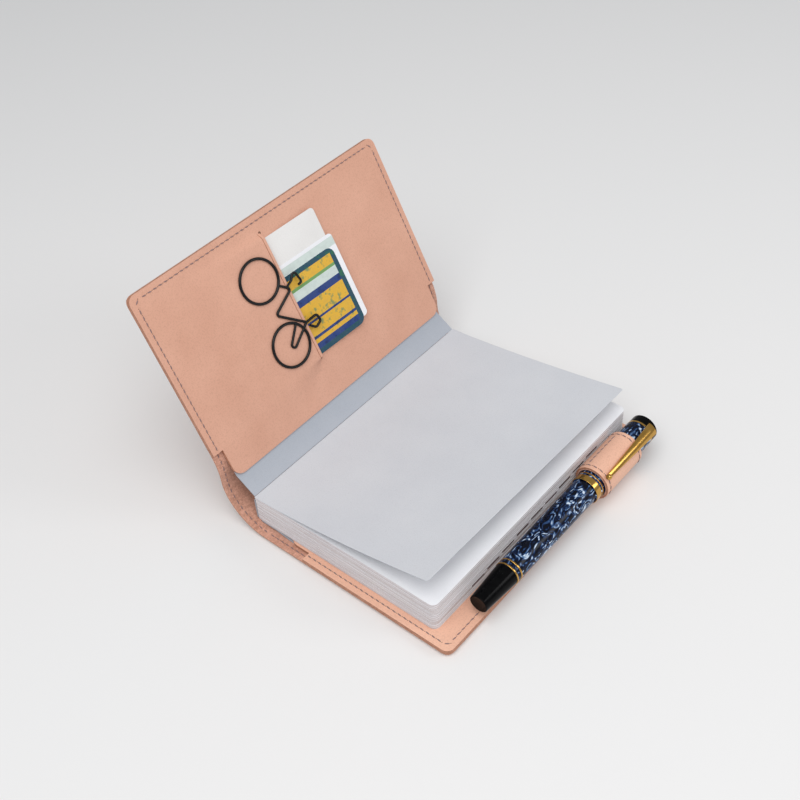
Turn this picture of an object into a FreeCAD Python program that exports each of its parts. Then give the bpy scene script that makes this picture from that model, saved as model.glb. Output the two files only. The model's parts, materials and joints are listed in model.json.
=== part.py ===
"""An open leather cover for a pocket notebook, with its notebook, a pen in its loop, cards and a wire clip.

Millimetres. +Z is up, +X runs from the spine to the fore-edge of the back cover, +Y from the foot of the page
to its head. The origin is the centre of the back cover's flat underside.
"""
import FreeCAD, Part
import math
import os

V = FreeCAD.Vector
X_AXIS = V(1, 0, 0)
Y_AXIS = V(0, 1, 0)
SAME_PLACE = 1e-4

# Notebook
page_width = 105.0
page_height = 148.0
gutter_thickness = 14.4
middle_thickness = 14.9
fore_edge_thickness = 16.5
section_count = 8
section_fold = 0.4
page_corner = 3.0
notebook_card = 0.6
spine_paper = 0.5
spine_paper_margin = 1.6
leaf_thickness = 0.25
leaf_lift = 8.4
leaf_setback = 1.5
leaf_corner = 1.2
gutter_clearance = 0.9
back_card_start = 1.5
back_card_ramp = 8.0

# Leather cover
shell_thickness = 1.8
pocket_thickness = 1.4
cover_overhang = 5.5
fore_margin = 11.4
cover_corner = 4.0
hem_clearance = 0.5
back_tongue_inset = 4.5
front_tongue_inset = 5.5
tongue_corner = 5.0
back_notch = 32.6
back_tongue = 20.0
front_lean = 63.5
front_reach = 108.5
front_notch = 26.5
front_tongue = 11.0
front_offset = 5.0
fold_back_radius = 30.0

# Thread
stitch_inset = 3.0
stitch_length = 2.3
stitch_gap = 0.8
thread_width = 0.6
thread_rise = 0.35

# Card slit and the cards in it
slit_y = -4.5
slit_clearance = 0.6
slit_tilt = 3.0
lip_clearance = 0.1
lip_side = 1.4
stop_hole_radius = 0.9
stop_hole_setback = 1.2
card_insert = 26.0
card_corner = 2.0
note_start = 41.5
note_width = 55.0
note_rise = 32.0
note_thickness = 0.25
backing_start = 36.2
backing_width = 45.0
backing_rise = 35.0
backing_thickness = 0.25
ticket_start = 33.7
ticket_width = 42.0
ticket_rise = 32.0
ticket_thickness = 0.3

# Wire clip in the shape of a bicycle
wheel_wire_radius = 0.6
frame_wire_radius = 0.55
stay_wire_radius = 0.5
wire_bend = 1.3
wheel_radius = 10.4
front_wheel = (81.6, -13.0)
rear_wheel = (47.2, -12.9)
saddle_post = (52.2, -0.2)
frame_strand = [(74.8, -5.1), (70.2, 0.3), (63.5, -13.3), saddle_post]
saddle_strand = [(52.6, 6.6), (48.8, 7.4), (47.2, 3.6), (49.8, 0.8)]
stay_strand = [(54.7, -5.7), (46.6, -13.4), (44.9, -11.6), saddle_post]
handlebar_strand = [(71.8, -1.5), (73.4, 2.4), (77.4, 5.6), (70.0, 7.4), (69.7, 4.9)]

# Pen loop
loop_length = 29.0
loop_below_head = 35.5
strap_thickness = 0.9
lining_thickness = 0.6
loop_clearance = 0.4
loop_gap = 0.9
loop_foot_inside = 6.0
loop_stitch_from = -35.0
loop_stitch_to = 215.0
loop_side_stitch = 140.0
loop_stitch_inset = 2.2

# Pen
cap_radius = 7.0
cap_wall = 1.1
cap_length = 46.3
cap_top_wall = 2.0
cap_below_loop = 6.1
wide_band = 3.4
thin_band = 0.8
band_gap = 1.0
band_depth = 0.35
band_proud = 0.15
clip_ring = 0.9
clip_angle = 45.0
clip_root_width = 4.4
clip_tip_width = 1.8
clip_thickness = 0.9
clip_clearance = 0.3
clip_length = 39.5
clip_ball_radius = 1.4
finial_length = 5.2
finial_radius = 6.9
finial_round = 0.8
tenon_radius = 3.8
tenon_fit = 0.05
inner_cap_length = 18.0
inner_cap_wall = 0.65
inner_cap_end = 1.0
barrel_radius = 6.3
barrel_length = 60.0
barrel_end_radius = 5.75
barrel_end_wall = 7.0
barrel_ring_width = 0.8
barrel_ring_pitch = 2.8
barrel_ring_depth = 0.4
barrel_ring_proud = 0.25
tail_length = 20.3
tail_end_radius = 4.5
tail_round = 0.5
collar_radius = 5.6
collar_length = 6.1
grip_radius = 5.2
grip_tip_radius = 4.7
grip_length = 14.0
shank_radius = 4.5
shank_length = 15.0
shank_fit = 0.1
section_ring_length = 1.0
section_ring_radius = 4.9
nib_radius = 3.1
nib_thickness = 0.4
nib_fit = 0.05
nib_seat = 7.0
nib_shoulder = 9.0
nib_point = 11.0
nib_cheek = 0.4
feed_fit = 0.1
feed_length = 22.0
feed_cone = 8.0
feed_tip_radius = 1.2
feed_nipple = 10.0
cartridge_length = 45.0
cartridge_fit = 0.05
cartridge_round = 1.0

# Levels and places that follow from the sizes above
half_height = page_height / 2 + cover_overhang
front_stack = shell_thickness + notebook_card + pocket_thickness
block_bottom = front_stack
hem_width = cover_overhang - hem_clearance
hinge_z = block_bottom + gutter_thickness
lean = math.radians(front_lean)
fold_back_turn = math.pi / 2 - lean
outer_offset = front_offset + front_stack
fold_top_x = -front_notch * math.cos(lean) - outer_offset * math.sin(lean)
fold_top_z = hinge_z + front_notch * math.sin(lean) - outer_offset * math.cos(lean)
spine_radius = fold_top_z - fold_back_radius * math.sin(fold_back_turn)
fold_start = fold_top_x + spine_radius + fold_back_radius * (1 - math.cos(fold_back_turn))
back_reach = page_width + fore_margin
spine_x = -(fold_start + back_reach) / 2
fold_x = spine_x + fold_start
back_right = spine_x + back_reach
fore_edge_x = spine_x + page_width
stitch_pitch = stitch_length + stitch_gap
stitch_line = half_height - stitch_inset

card_stack = note_thickness + backing_thickness + ticket_thickness
lip_underside = card_stack + lip_clearance
lip_top = lip_underside + pocket_thickness
lip_length = (pocket_thickness + lip_underside) / math.sin(math.radians(slit_tilt))
card_starts = (note_start, backing_start, ticket_start)
card_ends = (note_start + note_width, backing_start + backing_width, ticket_start + ticket_width)
slit_start = min(card_starts) - slit_clearance
slit_end = max(card_ends) + slit_clearance

loop_bore = cap_radius + loop_clearance
loop_lining_radius = loop_bore + lining_thickness
loop_radius = loop_lining_radius + strap_thickness
pen_x = fore_edge_x + loop_gap + loop_radius
pen_z = block_bottom + loop_radius
loop_centre_y = half_height - loop_below_head
loop_low = loop_centre_y - loop_length / 2
loop_high = loop_centre_y + loop_length / 2
mouth_y = loop_low - cap_below_loop
cap_top_y = mouth_y + cap_length
finial_y = cap_top_y + clip_ring
cap_bore = cap_radius - cap_wall
ring_bore = tenon_radius + tenon_fit
section_bore = nib_radius + nib_fit
grip_end_y = mouth_y + collar_length + grip_length
section_end_y = grip_end_y + section_ring_length
barrel_end_y = mouth_y - barrel_length
feed_back_y = section_end_y + feed_cone - feed_length
cartridge_front_y = feed_back_y - feed_nipple


def box(x0, x1, y0, y1, z0, z1):
    low = V(min(x0, x1), min(y0, y1), min(z0, z1))
    return Part.makeBox(abs(x1 - x0), abs(y1 - y0), abs(z1 - z0), low)


def moved(shape, x=0, y=0, z=0):
    copy = shape.copy()
    copy.translate(V(x, y, z))
    return copy


def round_corners(solid, x, radius):
    """Round the upright edges of a plate that stand at the given x."""
    edges = []
    for edge in solid.Edges:
        ends = [v.Point for v in edge.Vertexes]
        upright = len(ends) == 2 and abs(ends[0].x - ends[1].x) + abs(ends[0].y - ends[1].y) < SAME_PLACE
        if upright and abs(ends[0].x - x) < SAME_PLACE:
            edges.append(edge)
    return solid.makeFillet(radius, edges)


def prism(points, length):
    """Extrude an outline of (x, z) points along Y, centred on y = 0."""
    outline = Part.makePolygon([V(x, -length / 2, z) for x, z in points + points[:1]])
    return Part.Face(outline).extrude(V(0, length, 0))


def bent_sheet(path, thickness, length):
    """A sheet of even thickness whose lower face follows the (x, z) points from left to right."""
    normals = []
    for (x0, z0), (x1, z1) in zip(path, path[1:]):
        run = math.hypot(x1 - x0, z1 - z0)
        normals.append(((z0 - z1) / run, (x1 - x0) / run))
    upper = []
    for i, (x, z) in enumerate(path):
        before = normals[max(i - 1, 0)]
        after = normals[min(i, len(normals) - 1)]
        spread = 1 + before[0] * after[0] + before[1] * after[1]
        step_x = (before[0] + after[0]) * thickness / spread
        step_z = (before[1] + after[1]) * thickness / spread
        upper.append((x + step_x, z + step_z))
    return prism(path + upper[::-1], length)


def plate(points, low, thickness):
    """A level plate with an outline of (x, y) points."""
    outline = Part.makePolygon([V(x, y, low) for x, y in points + points[:1]])
    return Part.Face(outline).extrude(V(0, 0, thickness))


def tube(outer, inner, y0, y1):
    ring = Part.makeCylinder(outer, y1 - y0, V(0, y0, 0), Y_AXIS)
    return ring.cut(Part.makeCylinder(inner, y1 - y0, V(0, y0, 0), Y_AXIS))


def turned(profile):
    """Turn an outline of (y, radius) points about the pen's axis."""
    outline = Part.makePolygon([V(radius, y, 0) for y, radius in profile + profile[:1]])
    return Part.Face(outline).revolve(V(0, 0, 0), Y_AXIS, 360)


def round_end(solid, y, radius):
    """Round the outermost circular edge at the given y."""
    circles = [e for e in solid.Edges if e.Closed and abs(e.CenterOfMass.y - y) < SAME_PLACE]
    widest = max(circles, key=lambda e: e.Length)
    return solid.makeFillet(radius, [widest])


def on_front(shape):
    """Lean a piece of the front cover, drawn lying open and measured from the hinge line, to its place."""
    copy = shape.copy()
    copy.rotate(V(0, 0, 0), Y_AXIS, front_lean)
    copy.translate(V(spine_x, 0, hinge_z))
    return copy


def in_slit(shape):
    """Tilt what lies in the slit, drawn flat on the front panel, about the slit's line and lean it."""
    copy = shape.copy()
    copy.rotate(V(0, slit_y, -front_offset), X_AXIS, slit_tilt)
    return on_front(copy)


def on_pen(shape):
    return moved(shape, pen_x, 0, pen_z)


# Leather cover
def back_shell():
    plate = box(fold_x, back_right, -half_height, half_height, 0, shell_thickness)
    return round_corners(plate, back_right, cover_corner)


def front_shell():
    low = -outer_offset
    plate = box(-front_notch, -front_reach, -half_height, half_height, low, low + shell_thickness)
    return on_front(round_corners(plate, -front_reach, cover_corner))


def fold_point(inset, share):
    """A point of the spine's upright section: share runs 0 to 1 round the spine and 1 to 2 up the fold."""
    if share <= 1:
        angle = share * math.pi / 2
        radius = spine_radius - inset
        return V(fold_x - radius * math.sin(angle), 0, spine_radius - radius * math.cos(angle))
    angle = (share - 1) * fold_back_turn
    radius = fold_back_radius + inset
    centre_x = fold_x - spine_radius - fold_back_radius
    return V(centre_x + radius * math.cos(angle), 0, spine_radius + radius * math.sin(angle))


def spine_shell():
    edges = []
    for inset in (0, shell_thickness):
        for start in (0, 1):
            points = [fold_point(inset, start + part) for part in (0, 0.5, 1)]
            edges.append(Part.Arc(*points).toShape())
    for share in (0, 2):
        edges.append(Part.makeLine(fold_point(0, share), fold_point(shell_thickness, share)))
    face = Part.Face(Part.Wire(Part.__sortEdges__(edges)))
    return moved(face.extrude(V(0, 2 * half_height, 0)), y=-half_height)


def pocket_panel(side, notch, tongue, reach, tongue_inset):
    """An inner panel with its top face at z = 0, running along +X or -X from the notebook's spine."""
    low = -pocket_thickness
    hem_low = low - notebook_card
    tongue_half = half_height - tongue_inset
    panel = box(side * notch, side * reach, -half_height, half_height, low, 0)
    panel = panel.fuse(box(side * tongue, side * notch, -tongue_half, tongue_half, low, 0))
    panel = panel.fuse(box(side * (reach - hem_width), side * reach, -half_height, half_height, hem_low, low))
    for edge in (-half_height, half_height):
        inner = edge - math.copysign(hem_width, edge)
        panel = panel.fuse(box(side * notch, side * reach, edge, inner, hem_low, low))
    panel = panel.removeSplitter()
    panel = round_corners(panel, side * reach, cover_corner)
    return round_corners(panel, side * tongue, tongue_corner)


def back_pocket():
    return moved(pocket_panel(1, back_notch, back_tongue, back_reach, back_tongue_inset), spine_x, 0, block_bottom)


def front_pocket():
    """The front panel, whose leather is lifted into a lip along the slit by the cards under it."""
    panel = pocket_panel(-1, front_notch, front_tongue, front_reach, front_tongue_inset)
    panel = moved(panel, z=-front_offset)
    face = -front_offset
    under = face - pocket_thickness
    panel = panel.cut(box(-slit_start, -slit_end, slit_y - lip_length, slit_y, under, face))
    lip = box(-slit_start, -slit_end, slit_y - lip_length, slit_y, face + lip_underside, face + lip_top)
    lip.rotate(V(0, slit_y, face), X_AXIS, slit_tilt)
    rise = lip_length * math.sin(math.radians(slit_tilt))
    side_outline = [V(0, slit_y - lip_length, face), V(0, slit_y, face), V(0, slit_y, face + rise)]
    side = Part.Face(Part.makePolygon(side_outline + side_outline[:1])).extrude(V(lip_side, 0, 0))
    panel = panel.fuse([lip, moved(side, x=-slit_start), moved(side, x=-slit_end - lip_side)])
    for hole in (slit_start - lip_side - stop_hole_setback, slit_end + lip_side + stop_hole_setback):
        panel = panel.cut(Part.makeCylinder(stop_hole_radius, pocket_thickness, V(-hole, slit_y, under)))
    return on_front(panel.removeSplitter())


def stitch_starts(length):
    """Distances along a seam where its stitches start, spread evenly."""
    count = int(length / stitch_pitch)
    first = (length - count * stitch_pitch + stitch_gap) / 2
    return [first + i * stitch_pitch for i in range(count)]


def seam(x0, x1, y0, y1, z, rise):
    """Stitches on a level face along X or along Y, standing up from it, or down where rise is negative."""
    half = thread_width / 2
    stitches = []
    for start in stitch_starts(abs(x1 - x0) + abs(y1 - y0)):
        end = start + stitch_length
        if y0 == y1:
            step = math.copysign(1, x1 - x0)
            stitches.append(box(x0 + step * start, x0 + step * end, y0 - half, y0 + half, z, z + rise))
        else:
            stitches.append(box(x0 - half, x0 + half, y0 + start, y0 + end, z, z + rise))
    return stitches


def back_stitching():
    notch_x = spine_x + back_notch
    edge_x = back_right - stitch_inset
    stitches = seam(edge_x, edge_x, -stitch_line, loop_low, block_bottom, thread_rise)
    stitches += seam(edge_x, edge_x, loop_high, stitch_line, block_bottom, thread_rise)
    for y in (-stitch_line, stitch_line):
        stitches += seam(fold_x, notch_x, y, y, shell_thickness, thread_rise)
        stitches += seam(notch_x, edge_x - thread_width, y, y, block_bottom, thread_rise)
    return Part.makeCompound(stitches)


def front_stitching():
    edge_x = -front_reach + stitch_inset
    stitches = []
    for level, rise in ((-front_offset, thread_rise), (-outer_offset, -thread_rise)):
        stitches += seam(edge_x, edge_x, -stitch_line, stitch_line, level, rise)
        for y in (-stitch_line, stitch_line):
            stitches += seam(-front_notch, edge_x + thread_width, y, y, level, rise)
    return on_front(Part.makeCompound(stitches))


def bend_stitches(radius, sweep, inside):
    """Stitches round an arc about Y, as (angle, box) with the box on +Z at the arc's start.

    Inside an arc a straight stitch stands on its two ends, and outside on its middle.
    """
    if inside:
        stand = math.sqrt(radius ** 2 - (stitch_length / 2) ** 2)
        levels = (stand - thread_rise, stand)
    else:
        levels = (radius, radius + thread_rise)
    stitches = []
    for start in stitch_starts(radius * sweep):
        angle = math.degrees((start + stitch_length / 2) / radius)
        half = thread_width / 2
        stitches.append((angle, box(-stitch_length / 2, stitch_length / 2, -half, half, *levels)))
    return stitches


def spine_stitching():
    """Thread along the head and foot of the spine, on both faces of the leather but none below the floor."""
    stitches = []
    fold_centre = V(fold_x, 0, spine_radius)
    bend_centre = V(fold_x - spine_radius - fold_back_radius, 0, spine_radius)
    inner_radius = spine_radius - shell_thickness
    bends = [
        (fold_centre, inner_radius, math.pi / 2, True, 180, 1),
        (fold_centre, spine_radius, math.pi / 2, False, 180, 1),
        (bend_centre, fold_back_radius + shell_thickness, fold_back_turn, False, 90, -1),
        (bend_centre, fold_back_radius, fold_back_turn, True, 90, -1),
    ]
    for centre, radius, sweep, inside, start, way in bends:
        for angle, stitch in bend_stitches(radius, sweep, inside):
            for y in (-stitch_line, stitch_line):
                copy = moved(stitch, y=y)
                copy.rotate(V(0, 0, 0), Y_AXIS, start + way * angle)
                copy.translate(centre)
                if copy.BoundBox.ZMin >= 0:
                    stitches.append(copy)
    return Part.makeCompound(stitches)


def pen_loop():
    """The strap round the pen, on a foot sewn to the back panel inside its edge."""
    strap = tube(loop_radius, loop_lining_radius, loop_low, loop_high)
    foot = box(-loop_foot_inside, back_right - pen_x, loop_low, loop_high, -loop_radius, -loop_radius / 2)
    foot = foot.cut(Part.makeCylinder(loop_lining_radius, loop_length, V(0, loop_low, 0), Y_AXIS))
    return on_pen(strap.fuse(foot).removeSplitter())


def loop_lining():
    return on_pen(tube(loop_lining_radius, loop_bore, loop_low, loop_high))


def loop_stitching():
    """Thread round both ends of the loop and along its side next to the pages."""
    stitches = []
    sweep = math.radians(loop_stitch_to - loop_stitch_from)
    for y in (loop_low + loop_stitch_inset, loop_high - loop_stitch_inset):
        for angle, stitch in bend_stitches(loop_radius, sweep, False):
            copy = moved(stitch, y=y)
            copy.rotate(V(0, 0, 0), Y_AXIS, 90 - loop_stitch_from - angle)
            stitches.append(copy)
    first = loop_low + 2 * loop_stitch_inset
    last = loop_high - 2 * loop_stitch_inset
    for stitch in seam(0, 0, first, last, loop_radius, thread_rise):
        stitch.rotate(V(0, 0, 0), Y_AXIS, 90 - loop_side_stitch)
        stitches.append(stitch)
    return on_pen(Part.makeCompound(stitches))


# Notebook
def page_outline(start, low, high):
    plan = box(start, fore_edge_x, -page_height / 2, page_height / 2, low, high)
    return round_corners(plan, fore_edge_x, page_corner)


def page_line(share):
    """The edge between two sections, from the spine to the fore-edge, at a share of the block's thickness."""
    points = []
    for across, thickness in ((0, gutter_thickness), (0.5, middle_thickness), (1, fore_edge_thickness)):
        points.append(V(spine_x + across * page_width, 0, block_bottom + share * thickness))
    return points


def page_section(index):
    """One sewn section, with its folds rounded at the spine."""
    low = page_line(index / section_count)
    high = page_line((index + 1) / section_count)
    fold = (low[0] + high[0]) * 0.5 - X_AXIS * section_fold
    edges = [Part.Arc(high[0], fold, low[0]).toShape()]
    corners = low + high[::-1]
    for start, end in zip(corners, corners[1:]):
        edges.append(Part.makeLine(start, end))
    face = Part.Face(Part.Wire(edges))
    sheets = moved(face.extrude(V(0, page_height, 0)), y=-page_height / 2)
    return round_corners(sheets, fore_edge_x, page_corner)


def flyleaf():
    leaf = box(leaf_setback, page_width - leaf_setback, -page_height / 2, page_height / 2, 0, leaf_thickness)
    leaf = round_corners(leaf, page_width - leaf_setback, leaf_corner)
    leaf.rotate(V(0, 0, 0), Y_AXIS, -leaf_lift)
    return moved(leaf, spine_x, 0, hinge_z)


def notebook_spine():
    x1 = spine_x - section_fold
    top = hinge_z - spine_paper_margin
    half = page_height / 2
    return box(x1 - spine_paper, x1, -half, half, block_bottom + spine_paper_margin / 2, top)


def notebook_back_cover():
    """The card cover in the back pocket, which rises past the tongue to lie under the pages."""
    start = spine_x + back_card_start
    ramp = spine_x + back_tongue - notebook_card
    path = [
        (start, block_bottom - notebook_card),
        (ramp - back_card_ramp, block_bottom - notebook_card),
        (ramp, shell_thickness),
        (fore_edge_x, shell_thickness),
    ]
    card = bent_sheet(path, notebook_card, page_height)
    return card.common(page_outline(start, 0, hinge_z))


def notebook_front_cover():
    """The card cover in the front pocket, which runs out past the tongue to the gutter."""
    flat = -front_offset - pocket_thickness - notebook_card
    bend = front_tongue - notebook_card
    run = math.hypot(bend, flat)
    start = gutter_clearance / run
    end = -front_reach + hem_width + hem_clearance
    path = [(end, flat), (-bend, flat), (-bend * start, flat * start)]
    card = bent_sheet(path, notebook_card, page_height)
    plan = box(end, 0, -page_height / 2, page_height / 2, flat - notebook_card, notebook_card)
    return on_front(card.common(round_corners(plan, end, page_corner)))


# Cards and wire clip in the front pocket
def pocket_card(start, width, rise, low, thickness):
    z = low - front_offset
    card = box(-start, -start - width, slit_y - card_insert, slit_y + rise, z, z + thickness)
    card = round_corners(card, -start, card_corner)
    return in_slit(round_corners(card, -start - width, card_corner))


def note_slip():
    return pocket_card(note_start, note_width, note_rise, 0, note_thickness)


def backing_card():
    return pocket_card(backing_start, backing_width, backing_rise, note_thickness, backing_thickness)


def ticket_card():
    low = note_thickness + backing_thickness
    return pocket_card(ticket_start, ticket_width, ticket_rise, low, ticket_thickness)


def bent_wire(points, radius):
    """A round wire through level points, its corners bent to one radius."""
    edges = []
    last = points[0]
    for before, corner, after in zip(points, points[1:], points[2:]):
        back = (before - corner).normalize()
        ahead = (after - corner).normalize()
        half_turn = (math.pi - back.getAngle(ahead)) / 2
        cut = wire_bend * math.tan(half_turn)
        first = corner + back * cut
        final = corner + ahead * cut
        inward = (back + ahead).normalize()
        middle = corner + inward * (wire_bend / math.cos(half_turn) - wire_bend)
        edges.append(Part.makeLine(last, first))
        edges.append(Part.Arc(first, middle, final).toShape())
        last = final
    edges.append(Part.makeLine(last, points[-1]))
    start_way = points[1] - points[0]
    profile = Part.Wire(Part.makeCircle(radius, points[0], start_way))
    return Part.Wire(edges).makePipeShell([profile], True, False)


def wire_clip():
    """One bent wire: two wheels, a frame with saddle and handlebar, lying on the lip of the slit."""
    level = -front_offset + lip_top + wheel_wire_radius

    def place(point):
        return V(-point[0], slit_y + point[1], level)

    clip = Part.makeSphere(wheel_wire_radius, place(saddle_post))
    strands = [
        (frame_strand + saddle_strand, frame_wire_radius),
        (stay_strand, stay_wire_radius),
        (handlebar_strand, stay_wire_radius),
    ]
    for points, radius in strands:
        clip = clip.fuse(bent_wire([place(point) for point in points], radius))
    for hub in (front_wheel, rear_wheel):
        clip = clip.fuse(Part.makeTorus(wheel_radius, wheel_wire_radius, place(hub)))
    return in_slit(clip)


# Pen
def wide_band_span():
    return mouth_y, mouth_y + wide_band


def thin_band_span():
    low = mouth_y + wide_band + band_gap
    return low, low + thin_band


def pen_cap():
    cap = tube(cap_radius, cap_bore, mouth_y, cap_top_y - cap_top_wall)
    cap = cap.fuse(tube(cap_radius, ring_bore, cap_top_y - cap_top_wall, cap_top_y)).removeSplitter()
    for low, high in (wide_band_span(), thin_band_span()):
        cap = cap.cut(tube(cap_radius + band_proud, cap_radius - band_depth, low, high))
    return on_pen(cap)


def cap_band(span):
    return on_pen(tube(cap_radius + band_proud, cap_radius - band_depth, *span))


def cap_clip():
    """A plain tapered clip on a ring under the finial, with a ball end over the loop."""
    arm_low = loop_radius + thread_rise + clip_clearance
    arm_high = arm_low + clip_thickness
    root = clip_root_width / 2
    tip = clip_tip_width / 2
    tip_y = finial_y - clip_length
    arm = plate([(-root, finial_y), (root, finial_y), (tip, tip_y), (-tip, tip_y)], arm_low, clip_thickness)
    bridge = box(-root, root, cap_top_y, finial_y, ring_bore + root, arm_high)
    ball = Part.makeSphere(clip_ball_radius, V(0, tip_y, arm_low + clip_ball_radius))
    clip = tube(cap_radius, ring_bore, cap_top_y, finial_y).fuse([bridge, arm, ball]).removeSplitter()
    clip.rotate(V(0, 0, 0), Y_AXIS, clip_angle)
    return on_pen(clip)


def cap_finial():
    end = finial_y + finial_length
    tenon_end = cap_top_y - cap_top_wall
    profile = [(tenon_end, 0), (tenon_end, tenon_radius), (finial_y, tenon_radius)]
    profile += [(finial_y, finial_radius), (end, finial_radius), (end, 0)]
    return on_pen(round_end(turned(profile), end, finial_round))


def inner_cap():
    top = cap_top_y - cap_top_wall
    outer = cap_bore - tenon_fit
    sleeve = tube(outer, outer - inner_cap_wall, top - inner_cap_length, top - inner_cap_end)
    end = Part.makeCylinder(outer, inner_cap_end, V(0, top - inner_cap_end, 0), Y_AXIS)
    return on_pen(sleeve.fuse(end).removeSplitter())


def barrel_ring_spans():
    last = barrel_end_y + barrel_ring_width
    return [(barrel_end_y, last), (barrel_end_y + barrel_ring_pitch, last + barrel_ring_pitch)]


def barrel():
    bore = shank_radius + shank_fit
    bore_end = barrel_end_y + barrel_end_wall
    profile = [(mouth_y, bore), (mouth_y, barrel_radius), (barrel_end_y, barrel_end_radius)]
    profile += [(barrel_end_y, 0), (bore_end, 0), (bore_end, bore)]
    shape = turned(profile)
    for low, high in barrel_ring_spans():
        groove = barrel_end_radius - barrel_ring_depth
        shape = shape.cut(tube(barrel_radius + barrel_ring_proud, groove, low, high))
    return on_pen(shape)


def barrel_rings():
    outer = barrel_end_radius + barrel_ring_proud
    inner = barrel_end_radius - barrel_ring_depth
    rings = [tube(outer, inner, low, high) for low, high in barrel_ring_spans()]
    return on_pen(Part.makeCompound(rings))


def barrel_tail():
    end = barrel_end_y - tail_length
    profile = [(barrel_end_y, 0), (barrel_end_y, barrel_end_radius), (end, tail_end_radius), (end, 0)]
    return on_pen(round_end(turned(profile), end, tail_round))


def section():
    shank_end = mouth_y - shank_length
    collar_end = mouth_y + collar_length
    profile = [(shank_end, section_bore), (shank_end, shank_radius), (mouth_y, shank_radius)]
    profile += [(mouth_y, collar_radius), (collar_end, collar_radius), (collar_end, grip_radius)]
    profile += [(grip_end_y, grip_tip_radius), (grip_end_y, section_bore)]
    return on_pen(turned(profile))


def section_ring():
    return on_pen(tube(section_ring_radius, section_bore, grip_end_y, section_end_y))


def nib():
    start = section_end_y - nib_seat
    shoulder = section_end_y + nib_shoulder
    point = shoulder + nib_point
    outline = [(-nib_radius, start), (nib_radius, start), (nib_radius, shoulder)]
    outline += [(0, point), (-nib_radius, shoulder)]
    blank = plate(outline, nib_cheek, nib_radius)
    return on_pen(tube(nib_radius, nib_radius - nib_thickness, start, point).common(blank))


def feed():
    radius = nib_radius - nib_thickness - feed_fit
    cone = section_end_y
    profile = [(cartridge_front_y, 0), (cartridge_front_y, feed_tip_radius), (feed_back_y, feed_tip_radius)]
    tip = cone + feed_cone
    profile += [(feed_back_y, radius), (cone, radius), (tip, feed_tip_radius), (tip, 0)]
    return on_pen(turned(profile))


def ink_cartridge():
    start = cartridge_front_y - cartridge_length
    radius = section_bore - cartridge_fit
    shape = Part.makeCylinder(radius, cartridge_length, V(0, start, 0), Y_AXIS)
    return on_pen(round_end(shape, start, cartridge_round))


def build():
    nodes = {
        "back_shell": back_shell(),
        "spine_shell": spine_shell(),
        "front_shell": front_shell(),
        "back_pocket": back_pocket(),
        "front_pocket": front_pocket(),
        "back_stitching": back_stitching(),
        "front_stitching": front_stitching(),
        "spine_stitching": spine_stitching(),
        "pen_loop": pen_loop(),
        "loop_lining": loop_lining(),
        "loop_stitching": loop_stitching(),
        "flyleaf": flyleaf(),
        "notebook_spine": notebook_spine(),
        "notebook_back_cover": notebook_back_cover(),
        "notebook_front_cover": notebook_front_cover(),
        "note_slip": note_slip(),
        "backing_card": backing_card(),
        "ticket_card": ticket_card(),
        "wire_clip": wire_clip(),
        "pen_cap": pen_cap(),
        "cap_band_wide": cap_band(wide_band_span()),
        "cap_band_thin": cap_band(thin_band_span()),
        "cap_clip": cap_clip(),
        "cap_finial": cap_finial(),
        "inner_cap": inner_cap(),
        "barrel": barrel(),
        "barrel_rings": barrel_rings(),
        "barrel_tail": barrel_tail(),
        "section": section(),
        "section_ring": section_ring(),
        "nib": nib(),
        "feed": feed(),
        "ink_cartridge": ink_cartridge(),
    }
    for index in range(section_count):
        nodes["page_section_%d" % (index + 1)] = page_section(index)
    return nodes


os.makedirs("parts", exist_ok=True)
for name, shape in build().items():
    shape.exportStep("parts/%s.step" % name)
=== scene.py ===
"""An open leather notebook cover with its notebook, cards, wire clip and a pen in its loop."""
import json
import math
import random

import bpy
from mathutils import Matrix, Vector


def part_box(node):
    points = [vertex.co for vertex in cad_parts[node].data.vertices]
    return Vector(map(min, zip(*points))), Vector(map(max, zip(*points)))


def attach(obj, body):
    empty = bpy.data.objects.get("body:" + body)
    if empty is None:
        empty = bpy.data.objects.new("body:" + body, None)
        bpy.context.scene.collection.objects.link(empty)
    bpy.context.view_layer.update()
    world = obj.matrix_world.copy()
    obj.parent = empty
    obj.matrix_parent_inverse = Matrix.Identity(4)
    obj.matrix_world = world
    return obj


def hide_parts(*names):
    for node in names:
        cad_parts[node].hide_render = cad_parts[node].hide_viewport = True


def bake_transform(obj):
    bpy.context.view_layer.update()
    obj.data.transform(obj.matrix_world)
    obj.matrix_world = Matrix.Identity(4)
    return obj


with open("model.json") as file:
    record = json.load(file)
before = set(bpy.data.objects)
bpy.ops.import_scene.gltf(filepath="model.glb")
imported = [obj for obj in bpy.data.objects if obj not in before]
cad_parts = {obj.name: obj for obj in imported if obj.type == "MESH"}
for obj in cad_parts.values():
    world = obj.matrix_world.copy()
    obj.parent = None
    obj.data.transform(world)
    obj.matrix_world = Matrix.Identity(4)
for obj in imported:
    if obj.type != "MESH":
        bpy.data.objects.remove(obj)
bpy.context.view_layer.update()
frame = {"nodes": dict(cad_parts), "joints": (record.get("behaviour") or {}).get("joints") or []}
MM = 0.001
CROSSWISE = Vector((1, 0, 0))
LENGTHWISE = Vector((0, 1, 0))
UPWARD = Vector((0, 0, 1))

# Camera, fitted to the photograph's perspective
CAMERA_PLACE = Vector((242.01, -299.64, 421.44)) * MM
CAMERA_AZIMUTH = math.radians(42.829)
CAMERA_ELEVATION = math.radians(43.152)
CAMERA_ROLL = math.radians(-4.501)
CAMERA_NEAREST = 0.01
FOCAL_PIXELS = 1195.51
FRAME_PIXELS = 800
SENSOR = 36.0

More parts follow.
